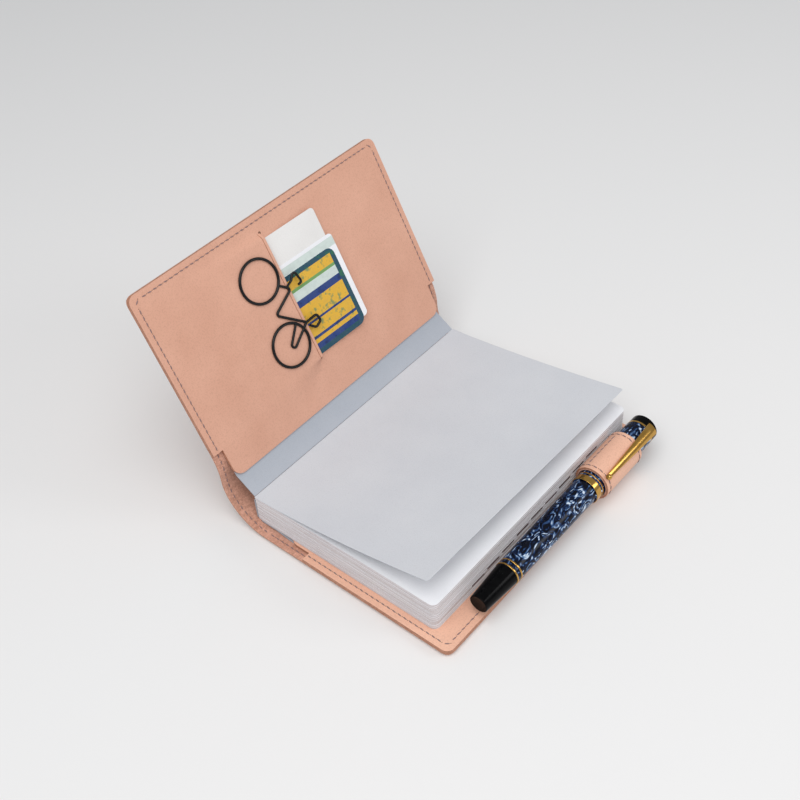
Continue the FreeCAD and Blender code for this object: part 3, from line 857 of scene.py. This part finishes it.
def cut_slit(panel):
    """Cut a net into the panel, finest round the slit, and part it along the slit."""
    columns = [HEM - FRONT_REACH, SLIT_LEFT, -SLIT_END, -SLIT_START, SLIT_RIGHT]
    columns += [SLIT_LEFT + x * MM for x in EDGE_COLUMNS]
    columns += [SLIT_RIGHT + x * MM for x in GUTTER_COLUMNS]
    columns += [LIP_COLUMN * k - SLIT_END for k in range(1, LIP_COLUMNS + 1)]
    rows = [SLIT_Y - y * MM for y in ROWS_BELOW] + [SLIT_Y + y * MM for y in ROWS_ABOVE]
    rows += [half_height - HEM, HEM - half_height]
    cut_across(panel, [Vector((x, 0, 0)) for x in columns], CROSSWISE)
    cut_across(panel, [Vector((0, y, 0)) for y in rows], LENGTHWISE)
    edit_vertices(panel, lambda co: abs(co.y - SLIT_Y) < SLIT_NEAR
                  and SLIT_LEFT - SLIT_NEAR < co.x < SLIT_RIGHT + SLIT_NEAR)
    bpy.ops.mesh.edge_split(type="EDGE")
    object_mode()


def lift_lip(panel):
    """Lift what lies below the slit over the cards, with a crease along its edge."""
    flap = set()
    for polygon in panel.data.polygons:
        if polygon.center.y < SLIT_Y:
            flap.update(polygon.vertices)
    for index in flap:
        place = panel.data.vertices[index].co
        place.z = lip_lift(-place.x, place.y)
        if on_crease(place, SLIT_NEAR):
            place.z -= CREASE_DEPTH


def seat_hem(panel):
    """Thicken the panel's rim down to the hide, where the two are sewn together."""
    for vertex in panel.data.vertices:
        place = vertex.co
        rim = (abs(place.y) > half_height - HEM - SLIT_NEAR
               or place.x < HEM - FRONT_REACH + SLIT_NEAR)
        if rim and place.z < -PANEL / 2 and place.x < SLIT_NEAR - FRONT_NOTCH:
            place.z -= HEM_RISE


def front_panel_side(polygon):
    """0 for the faces of the panel, 1 for its cut edges and the crease."""
    creased = on_crease(polygon.center, CREASE_REACH) and polygon.normal.z > 0
    return 1 if creased or abs(polygon.normal.z) <= FRONT_PANEL_FACING else 0


def make_front_panel():
    """The front pocket's panel: its tongue, its hem and the slit that holds the cards."""
    panel = front_panel_blank()
    cut_slit(panel)
    lift_lip(panel)
    thickened(panel, PANEL, -1.0)
    seat_hem(panel)
    softened(panel, SOFT_EDGE, 3, 50)
    sort_faces(panel, front_panel_side)
    placed(panel, panel_matrix)
    finished(panel, "front", ["front_pocket"], [grain, cut_edge])


def make_stop_holes():
    """The small holes at which the slit ends: flat dark discs, with painted shade inside them over
    their darker walls.
    """
    holes = []
    for x in (SLIT_LEFT, SLIT_RIGHT):
        place = (x, SLIT_Y, 0)
        deselect_all()
        bpy.ops.mesh.primitive_uv_sphere_add(segments=16, ring_count=8, radius=STOP_HOLE,
                                             location=place)
        hole = named("stop_hole")
        bpy.ops.object.transform_apply(location=True)
        edit_all(hole)
        bpy.ops.transform.resize(value=(1, 1, STOP_HOLE_FLATNESS), center_override=place)
        object_mode()
        holes.append(hole)
    stop_holes = placed(joined("stop_holes", holes), panel_matrix)
    smooth(stop_holes, 80)
    finished(stop_holes, "front", [], [hole_walls_and_shade])


def make_loop():
    """The strap round the pen, its sewn foot and its lining."""
    low, high = cad_box("pen_loop")
    outer = span("pen_loop")[2]
    middle = span("loop_lining")[2]
    strap = turned("pen_strap", tube(low.y, high.y, middle, outer), True)
    softened(strap, SOFT_EDGE, 3)
    sort_faces(strap, lambda face: abs(face.normal.y) > STRAP_FACING)
    # The strap and its foot take the grain leather painted lighter: light painted into their
    # colour.
    finished(strap, "back", [], [grain_painted_lighter, cut_edge])
    foot = traced("pen_loop", "pen_strap_foot")
    edit_all(foot)
    level = Vector((0, 0, low.z + FOOT_HEIGHT))
    bpy.ops.mesh.bisect(plane_co=level, plane_no=UPWARD, use_fill=True, clear_outer=True)
    object_mode()
    softened(foot, FOOT_EDGE)
    finished(foot, "back", ["pen_loop"], [grain_painted_lighter])
    make_traced_piece("loop_lining", "pen_strap_lining", "back", flesh,
                      LINING_EDGE)


# Seams
def make_stitch():
    """One stitch with the awl hole beside it, lying along X on the level z = 0; the hole is a flat
    dark disc with painted shade.
    """
    middle = (0, 0, 0)
    deselect_all()
    bpy.ops.mesh.primitive_uv_sphere_add(segments=8, ring_count=6, radius=0.5)
    stitch = named("stitch")
    edit_all(stitch)
    bpy.ops.transform.rotate(value=math.pi / 2, orient_axis="Y", center_override=middle)
    bpy.ops.transform.resize(value=(STITCH_LENGTH, THREAD, THREAD * THREAD_FLATNESS))
    bpy.ops.transform.rotate(value=STITCH_SLANT, orient_axis="Z", center_override=middle)
    bpy.ops.transform.translate(value=(0, 0, THREAD_LIFT))
    smooth(stitch, 80)
    deselect_all()
    bpy.ops.mesh.primitive_uv_sphere_add(segments=8, ring_count=4, radius=0.5)
    hole = named("hole")
    edit_all(hole)
    bpy.ops.transform.resize(value=(2 * HOLE, 2 * HOLE, HOLE_DEPTH))
    bpy.ops.transform.translate(value=(STITCH_PITCH / 2, 0, 0))
    object_mode()
    sort_faces(hole, lambda face: 1)
    for obj in (stitch, hole):
        give_materials(obj, thread, hole_walls_and_shade)
    return joined("stitch", [stitch, hole])


def seam_places(start, end, normal):
    """The stitches of a straight seam: each a middle, a direction and the surface's normal."""
    run = end - start
    count = int(run.length / STITCH_PITCH)
    along = run.normalized()
    first = (run.length - (count - 1) * STITCH_PITCH) / 2
    return [(start + along * (first + i * STITCH_PITCH), along, normal) for i in range(count)]


def corner_stitch(corner, first, second, normal):
    """The stitch that rounds a seam's corner, from the two directions in which runs reach it."""
    middle = corner - (first + second) * SEAM_CORNER * (1 - math.sqrt(0.5))
    return (middle, (first - second).normalized(), normal)


def make_seam(name, places, body, nodes):
    copies = []
    for middle, along, normal in places:
        axes = Matrix((along, normal.cross(along), normal)).transposed().to_4x4()
        mesh = stitch_master.data.copy()
        mesh.transform(Matrix.Translation(middle) @ axes)
        copies.append(new_object(name, mesh))
    return finished(joined(name, copies), body, nodes, [thread, hole_walls_and_shade])


def make_front_seams():
    edge = FRONT_REACH - STITCH_INSET
    line = half_height - STITCH_INSET
    turn = line - SEAM_CORNER
    places = []
    for lift, normal in ((0, front_normal), (-panel_top, -front_normal)):
        places += seam_places(front_point(edge, -turn, lift), front_point(edge, turn, lift), normal)
        for side in (-1, 1):
            y = side * line
            start = front_point(FRONT_NOTCH, y, lift)
            places += seam_places(start, front_point(edge - SEAM_CORNER, y, lift), normal)
            corner = front_point(edge, y, lift)
            places.append(corner_stitch(corner, front_along, LENGTHWISE * side, normal))
    make_seam("front_seam", places, "front", ["front_stitching"])


def make_back_seams():
    loop_low, loop_high = cad_box("pen_loop")
    edge = back_high.x - STITCH_INSET
    line = half_height - STITCH_INSET
    notch = hinge.x + BACK_NOTCH
    places = []
    for side, loop_end in ((-1, loop_low.y), (1, loop_high.y)):
        y = side * line
        corner = Vector((edge, y, panel_top))
        outward = LENGTHWISE * side
        runs = ((corner - outward * SEAM_CORNER, Vector((edge, loop_end, panel_top))),
                (Vector((fold_x, y, LEATHER)), Vector((notch, y, LEATHER))),
                (Vector((notch, y, panel_top)), corner - CROSSWISE * SEAM_CORNER))
        for start, end in runs:
            places += seam_places(start, end, UPWARD)
        places.append(corner_stitch(corner, CROSSWISE, outward, UPWARD))
    make_seam("back_seam", places, "back", ["back_stitching"])


def spine_stitches(inset, side):
    """The stitches of the spine's curve, on its inside or on its outside."""
    curves = ((0, (spine_radius - inset) * math.pi / 2), (1, (FOLD_BACK + inset) * fold_turn))
    stitches = []
    for start, length in curves:
        count = int(length / STITCH_PITCH)
        for step in range(count):
            share = start + (step + 0.5) / count
            if side < 0 and share < SPINE_ON_TABLE:
                continue
            middle = fold_point(share, inset)
            ahead = fold_point(share + SPINE_NUDGE, inset)
            along = (ahead - fold_point(share - SPINE_NUDGE, inset)).normalized()
            normal = inward_and_depth(middle)[0] * side
            normal = (normal - along * normal.dot(along)).normalized()
            stitches.append((middle, along, normal))
    return stitches


def make_spine_seams():
    line = half_height - STITCH_INSET
    places = []
    for middle, along, normal in spine_stitches(LEATHER, 1) + spine_stitches(0.0, -1):
        for y in (-line, line):
            places.append((middle + LENGTHWISE * y, along, normal))
    bend_with_cover(make_seam("spine_seam", places, None, ["spine_stitching"]))


def make_loop_seams():
    low_end, high_end, radius = span("pen_loop")
    centre = Vector((pen_axis.x, 0, pen_axis.z))
    count = int(radius * LOOP_SEAM_SWEEP / STITCH_PITCH)
    places = []
    for y in (low_end + LOOP_SEAM_INSET, high_end - LOOP_SEAM_INSET):
        for step in range(count):
            angle = LOOP_SEAM_START + LOOP_SEAM_SWEEP * (step + 0.5) / count
            normal = Vector((math.cos(angle), 0, math.sin(angle)))
            along = Vector((-math.sin(angle), 0, math.cos(angle)))
            places.append((centre + LENGTHWISE * y + normal * radius, along, normal))
    normal = Vector((math.cos(LOOP_SIDE_SEAM), 0, math.sin(LOOP_SIDE_SEAM)))
    foot = centre + normal * radius
    end_inset = 1.5 * LOOP_SEAM_INSET
    first = foot + LENGTHWISE * (low_end + end_inset)
    places += seam_places(first, foot + LENGTHWISE * (high_end - end_inset), normal)
    make_seam("loop_seam", places, "back", ["loop_stitching"])


# Notebook
def block_height(x):
    """The block's thickness at x: arched beside the gutter, fuller towards the fore-edge."""
    share = max(x - hinge.x, 0) / (block_high.x - hinge.x)
    gutter = hinge.z - panel_top
    full = block_high.z - panel_top
    arch = BLOCK_ARCH * (1 - (1 - share) ** BLOCK_ARCH_RISE) * (1 - share ** BLOCK_ARCH_FALL)
    return gutter + (full - gutter) * share + arch


def make_page_section(number, count):
    """One sewn section as a stack of leaves, whose edges don't quite line up."""
    chance = random.Random(number)
    pages = count * PAGES_IN_SECTION
    leaves = []
    for index in range(PAGES_IN_SECTION):
        level = ((number - 1) * PAGES_IN_SECTION + index) / pages
        slip = chance.uniform(0, PAGE_SLIP)
        shift = chance.uniform(-PAGE_SHIFT, PAGE_SHIFT)
        low = Vector((hinge.x, block_low.y + PAGE_INSET + shift, 0))
        high = Vector((block_high.x - slip, -low.y + 2 * shift, 0))
        leaf = flat_card("leaf", low, high, [Vector((high.x, low.y, 0)), high], PAGE_CORNER)
        width = high.x - low.x
        cuts = [Vector((low.x + width * percent / 100, 0, 0)) for percent in PAGE_CUTS]
        cut_across(leaf, cuts, CROSSWISE)
        for vertex in leaf.data.vertices:
            vertex.co.z = panel_top + block_height(vertex.co.x) * level
        thickened(leaf, block_height(high.x) / pages * PAGE_FILL)
        # The leaves' sides take the page edge colour: painted shade and painted bounce light from
        # the leather.
        sort_faces(leaf, lambda face: abs(face.normal.z) < FACING)
        give_materials(leaf, white_paper, page_edge_painted_shade)
        leaves.append(leaf)
    section = joined("page_leaves_%d" % number, leaves)
    nodes = ["page_section_%d" % number]
    finished(section, "back", nodes, [white_paper, page_edge_painted_shade])


def make_index_marks():
    """Dark thumb-index marks that step down the fore-edge."""
    half = Vector((MARK_HEIGHT / 2, MARK_LENGTH / 2, 0))
    upright = Matrix.Rotation(math.pi / 2, 4, "Y")
    marks = []
    for index in range(MARKS):
        middle = Vector((0, MARK_FIRST - MARK_PITCH * index, 0))
        level = panel_top + block_height(block_high.x) * (MARK_LEVEL - MARK_STEP * index)
        mark = flat_card("mark", middle - half, middle + half, [], 0)
        thickened(mark, MARK_INK, 0.0)
        place = Matrix.Translation((block_high.x + MARK_PROUD, 0, level))
        marks.append(placed(mark, place @ upright))
    finished(joined("index_marks", marks), "back", [], [index_ink])


def make_flyleaf():
    """The grey leaf, arched at the gutter and lifted more at its near corner."""
    low, high = cad_box("flyleaf")
    start = Vector((hinge.x - LEAF_OVERLAP, low.y, 0))
    end = Vector((high.x, high.y, 0))
    leaf = flat_card("grey_flyleaf", start, end, [Vector((end.x, start.y, 0)), end], LEAF_CORNER)
    width = end.x - start.x
    full = panel_top + block_height(end.x)
    gap = high.z - full
    strips = [start.x + width * k / LEAF_STRIPS for k in range(1, LEAF_STRIPS)]
    bands = [start.y * (1 - 2 * k / LEAF_BANDS) for k in range(1, LEAF_BANDS)]
    cut_across(leaf, [Vector((x, 0, 0)) for x in strips], CROSSWISE)
    cut_across(leaf, [Vector((0, y, 0)) for y in bands], LENGTHWISE)
    for vertex in leaf.data.vertices:
        share = (vertex.co.x - start.x) / width
        open_share = max(share - LEAF_HUG, 0) / (1 - LEAF_HUG)
        twist = -LEAF_TWIST * share * share * vertex.co.y / half_height
        arch = LEAF_ARCH * (1 - (1 - share) ** LEAF_ARCH_RISE) * (1 - share)
        height = hinge.z + (full - hinge.z) * share ** 2 + arch + gap * open_share ** LEAF_BEND
        vertex.co.z = max(height + twist, panel_top + block_height(vertex.co.x)) + LEAF_CLEAR
    thickened(leaf, LEAF)
    softened(leaf, PAPER_EDGE, 1, 60)
    finished(leaf, None, ["flyleaf"], [grey_paper])
    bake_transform(leaf)


def make_cover_card():
    """The notebook's card cover: out of the front pocket, past its tongue, down to the gutter."""
    half = cad_box("notebook_front_cover")[1].y - COVER_CARD_INSET
    under = -PANEL - COVER_CARD_UNDER
    far_end = front_point(FRONT_REACH - COVER_CARD_END, -half, under)
    bend = front_point(FRONT_TONGUE + COVER_CARD_BEND, -half, under)
    gutter = Vector((hinge.x, -half, hinge.z)) + COVER_CARD_GUTTER
    card = drawn_line("notebook_cover_card", [far_end, bend, gutter])
    extrude((0, 2 * half, 0))
    weld()
    object_mode()
    thickened(card, COVER_CARD, 0.0)
    softened(card, COVER_CARD_EDGE, 2, 35)
    finished(card, "front", ["notebook_front_cover"], [cover_paper])


def make_notebook_rest():
    for node in ("notebook_back_cover", "notebook_spine"):
        make_traced_piece(node, node + "_paper", "back", cover_paper,
                          COVER_PAPER_EDGE)


# Cards and wire clip
def card_blank(name, start, width, rise, level, thickness, corner=CARD_CORNER):
    """A card in the slit's own frame: across the slit along -X, up out of it along +Y."""
    low = Vector((-start - width, -CARD_INSERT, 0))
    high = Vector((-start, rise, 0))
    corners = [low, high, Vector((low.x, high.y, 0)), Vector((high.x, low.y, 0))]
    card = flat_card(name, low, high, corners, corner)
    object_mode()
    for vertex in card.data.vertices:
        vertex.co.z = level
    return thickened(card, thickness)


def make_note():
    card = card_blank("note_slip_paper", NOTE_START, NOTE_WIDTH, NOTE_RISE, 0.0, CARD)
    softened(card, PAPER_EDGE, 1, 60)
    finished(placed(card, slit_matrix), "note", ["note_slip"], [note_paper])


def make_backing():
    """The white card behind the ticket, with a mint strip along its outer side."""
    card = card_blank("backing_card_paper", BACKING_START, BACKING_WIDTH, BACKING_RISE, CARD, CARD)
    left = -BACKING_START - BACKING_WIDTH
    first, last = left + MINT_START, left + MINT_END
    cut_across(card, [Vector((x, 0, 0)) for x in (first, last)], CROSSWISE)
    sort_faces(card, lambda face: face.normal.z > FACING and first < face.center.x < last)
    placed(card, slit_matrix)
    finished(card, "backing", ["backing_card"], [white_paper, mint_ink])


def make_ticket():
    """A printed ticket: a teal border round a yellow field with plain bands across it."""
    card = card_blank("ticket_print", TICKET_START, TICKET_WIDTH, TICKET_RISE, 2 * CARD, TICKET,
                      TICKET_CORNER)
    left = -TICKET_START - TICKET_WIDTH
    top = TICKET_RISE - TICKET_BORDER
    bands = [(0, teal_ink), (TICKET_BORDER, yellow_ink), (7.5 * MM, green_ink), (9 * MM, mint_ink),
             (13.5 * MM, blue_ink), (17 * MM, yellow_ink), (25.5 * MM, blue_ink),
             (26.6 * MM, yellow_ink), (33 * MM, blue_ink), (34.4 * MM, yellow_ink),
             (TICKET_WIDTH - 5.5 * MM, blue_ink), (TICKET_WIDTH - TICKET_BORDER, teal_ink)]
    inks = [white_paper, mint_ink, teal_ink, yellow_ink, blue_ink, green_ink]

    def printed(face):
        if face.normal.z < FACING:
            return inks.index(white_paper)
        if face.center.y > top:
            return inks.index(teal_ink)
        return inks.index([ink for start, ink in bands if start <= face.center.x - left][-1])

    cut_across(card, [Vector((left + start, 0, 0)) for start, ink in bands[1:]], CROSSWISE)
    cut_across(card, [Vector((0, top, 0))], LENGTHWISE)
    sort_faces(card, printed)
    finished(placed(card, slit_matrix), "ticket", ["ticket_card"], inks)


def make_wire():
    wire = traced("wire_clip", "wire_bicycle")
    edit_all(wire)
    bpy.ops.mesh.normals_make_consistent(inside=False)
    bpy.ops.transform.shrink_fatten(value=WIRE_COAT)
    smooth(wire, 60)
    finished(wire, "clip", ["wire_clip"], [coated_wire])


# Pen
def span(node):
    """A turned node's two ends along the pen and its radius."""
    low, high = cad_box(node)
    return low.y, high.y, (high.x - low.x) / 2


def tube(low, high, bore, radius):
    """The outline of a plain ring from one end to the other."""
    return [(low, bore), (low, radius), (high, radius), (high, bore)]


def turned(name, profile, closed=False):
    """Turn an outline of (y, radius) places about the pen's axis."""
    places = [Vector((pen_axis.x + radius, y, pen_axis.z)) for y, radius in profile]
    if closed:
        places.append(places[0])
    obj = drawn_line(name, places)
    centre = (pen_axis.x, 0, pen_axis.z)
    bpy.ops.mesh.spin(steps=TURNED_STEPS, angle=math.tau, center=centre, axis=LENGTHWISE)
    weld()
    object_mode()
    return obj


def make_pen_piece(node, name, body, profile, material, edge, closed=False):
    piece = softened(turned(name, profile, closed), edge, 3)
    finished(piece, body, [node], [material])


def make_cap():
    low, high, radius = span("pen_cap")
    bore = radius - CAP_WALL
    top = high - CAP_TOP
    profile = [(low, bore), (low, radius), (high, radius), (high, CAP_HOLE), (top, CAP_HOLE),
               (top, bore)]
    make_pen_piece("pen_cap", "cap_tube", "cap", profile, marbled, TUBE_EDGE, True)
    for node in ("cap_band_wide", "cap_band_thin"):
        low, high, outer = span(node)
        profile = tube(low, high, radius - TRIM_DEPTH, outer)
        make_pen_piece(node, node + "_gold", "cap", profile, gold, BAND_EDGE, True)
    top = span("cap_finial")[1]
    base = top - FINIAL_LENGTH
    profile = [(base, 0), (base, FINIAL_RADIUS), (top - FINIAL_DOME, FINIAL_RADIUS),
               (top, FINIAL_RADIUS * FINIAL_FLAT), (top, 0)]
    make_pen_piece("cap_finial", "finial_crown", "cap", profile, black_resin,
                   FINIAL_EDGE)


def make_clip():
    """The cap's clip: its arm flared away from the tip and crowned across."""
    clip = traced("cap_clip", "cap_clip_gold")
    clear = span("pen_cap")[2] + CLIP_CLEAR
    centre = Vector((pen_axis.x, 0, pen_axis.z))
    level = Vector((1, 0, 1))
    arm = [v for v in clip.data.vertices if (v.co * level - centre).length > clear]
    outward = sum((v.co * level - centre for v in arm), Vector()).normalized()
    across = outward.cross(LENGTHWISE)
    tip = min(v.co.y for v in arm)
    reach = max(v.co.y for v in arm) - tip
    for vertex in arm:
        side = (vertex.co - centre).dot(across)
        vertex.co += across * side * CLIP_FLARE * (vertex.co.y - tip) / reach
    columns = [across * k * CLIP_COLUMN for k in range(-CLIP_COLUMNS, CLIP_COLUMNS + 1)]
    cut_across(clip, [centre + column for column in columns], across)
    rows = [tip + reach * k / CLIP_ROWS for k in range(1, CLIP_ROWS)]
    cut_across(clip, [Vector((0, y, 0)) for y in rows], LENGTHWISE)
    crown = set()
    for polygon in clip.data.polygons:
        above = (polygon.center - centre).dot(outward) > clear
        facing = polygon.normal.dot(outward) > CLIP_FACING
        if above and facing and polygon.center.y < tip + reach:
            crown.update(polygon.vertices)
    for index in crown:
        place = clip.data.vertices[index].co
        side = (place - centre).dot(across)
        place += outward * (CLIP_CROWN - side * side / (2 * CLIP_BEND))
    softened(clip, TUBE_EDGE, 3, 40, False)
    finished(clip, "cap", ["cap_clip"], [gold])


def make_barrel():
    low, high, outer = span("barrel")
    floor = low + BARREL_FLOOR
    profile = [(high, BARREL_BORE), (high, outer), ((low + high) / 2, outer - BARREL_TAPER),
               (low, BARREL_END), (low, 0), (floor, 0), (floor, BARREL_BORE)]
    make_pen_piece("barrel", "barrel_tube", "barrel", profile, marbled,
                   BARREL_EDGE, True)
    low, high, outer = span("barrel_rings")
    rings = []
    for start in (low, high - RING_WIDTH):
        profile = tube(start, start + RING_WIDTH, BARREL_END - TRIM_DEPTH, outer)
        rings.append(softened(turned("ring", profile, True), TUBE_EDGE, 3))
    rings = joined("barrel_rings_gold", rings)
    finished(rings, "barrel", ["barrel_rings"], [gold])
    low, high, outer = span("barrel_tail")
    profile = [(high, 0), (high, outer), (low, TAIL_TIP),
               (low + TAIL_DISH, TAIL_TIP * TAIL_DISH_SHARE), (low + TAIL_HOLLOW, 0)]
    make_pen_piece("barrel_tail", "barrel_tail_cone", "barrel", profile, black_resin,
                   TAIL_EDGE)


def make_pen_inside():
    for node, material, slot in (
            ("section", black_resin, "black_resin"), ("section_ring", gold, "gold_trim"),
            ("nib", gold, "gold_trim"), ("feed", black_resin, "black_resin"),
            ("ink_cartridge", liner, "liner_plastic")):
        make_traced_piece(node, node + "_piece", "section", material, INSIDE_EDGE)
    make_traced_piece("inner_cap", "inner_cap_sleeve", "cap", liner, INSIDE_EDGE)


# Floor, light and camera
def make_lamp(name, place, width, power):
    light = bpy.data.lights.new(name, "AREA")
    light.size = width
    light.energy = power
    lamp = new_object(name, light)
    lamp.location = place
    lamp.rotation_euler = (LAMP_AIM - place).to_track_quat("-Z", "Y").to_euler()


def make_stage():
    deselect_all()
    bpy.ops.mesh.primitive_plane_add(size=FLOOR_WIDTH, location=(0, 0, -FLOOR_DROP))
    floor = named("floor")
    material, _, shader = new_material("pale_floor")
    tune(shader, Base_Color=FLOOR_COLOUR, Roughness=FLOOR_ROUGHNESS)
    give_materials(floor, material)
    world = bpy.data.worlds.new("studio")
    world.use_nodes = True
    tune(world.node_tree.nodes["Background"], Color=SKY_COLOUR, Strength=SKY_STRENGTH)
    bpy.context.scene.world = world
    make_lamp(*KEY_LAMP)
    make_lamp(*FILL_LAMP)


def make_camera():
    level = math.cos(CAMERA_ELEVATION)
    back = Vector((math.sin(CAMERA_AZIMUTH) * level, -math.cos(CAMERA_AZIMUTH) * level,
                   math.sin(CAMERA_ELEVATION)))
    right = Vector((math.cos(CAMERA_AZIMUTH), math.sin(CAMERA_AZIMUTH), 0))
    up = back.cross(right)
    rolled_right = right * math.cos(CAMERA_ROLL) + up * math.sin(CAMERA_ROLL)
    rolled_up = up * math.cos(CAMERA_ROLL) - right * math.sin(CAMERA_ROLL)
    lens = bpy.data.cameras.new("photo_view")
    lens.sensor_width = SENSOR
    lens.lens = SENSOR * FOCAL_PIXELS / FRAME_PIXELS
    lens.clip_start = CAMERA_NEAREST
    camera = new_object("photo_view", lens)
    turn = Matrix((rolled_right, rolled_up, back)).transposed().to_4x4()
    camera.matrix_world = Matrix.Translation(CAMERA_PLACE) @ turn
    bpy.context.scene.camera = camera


make_camera()
make_stage()
make_hide()
make_back_panel()
make_front_panel()
make_stop_holes()
make_loop()
stitch_master = make_stitch()
make_front_seams()
make_back_seams()
make_spine_seams()
make_loop_seams()
bpy.data.objects.remove(stitch_master)
section_names = [name for name in frame["nodes"] if name.startswith("page_section_")]
for number in range(1, len(section_names) + 1):
    make_page_section(number, len(section_names))
make_index_marks()
make_flyleaf()
make_cover_card()
make_notebook_rest()
make_note()
make_backing()
make_ticket()
make_wire()
make_cap()
make_clip()
make_barrel()
make_pen_inside()

bpy.context.scene.view_settings.view_transform = "Standard"
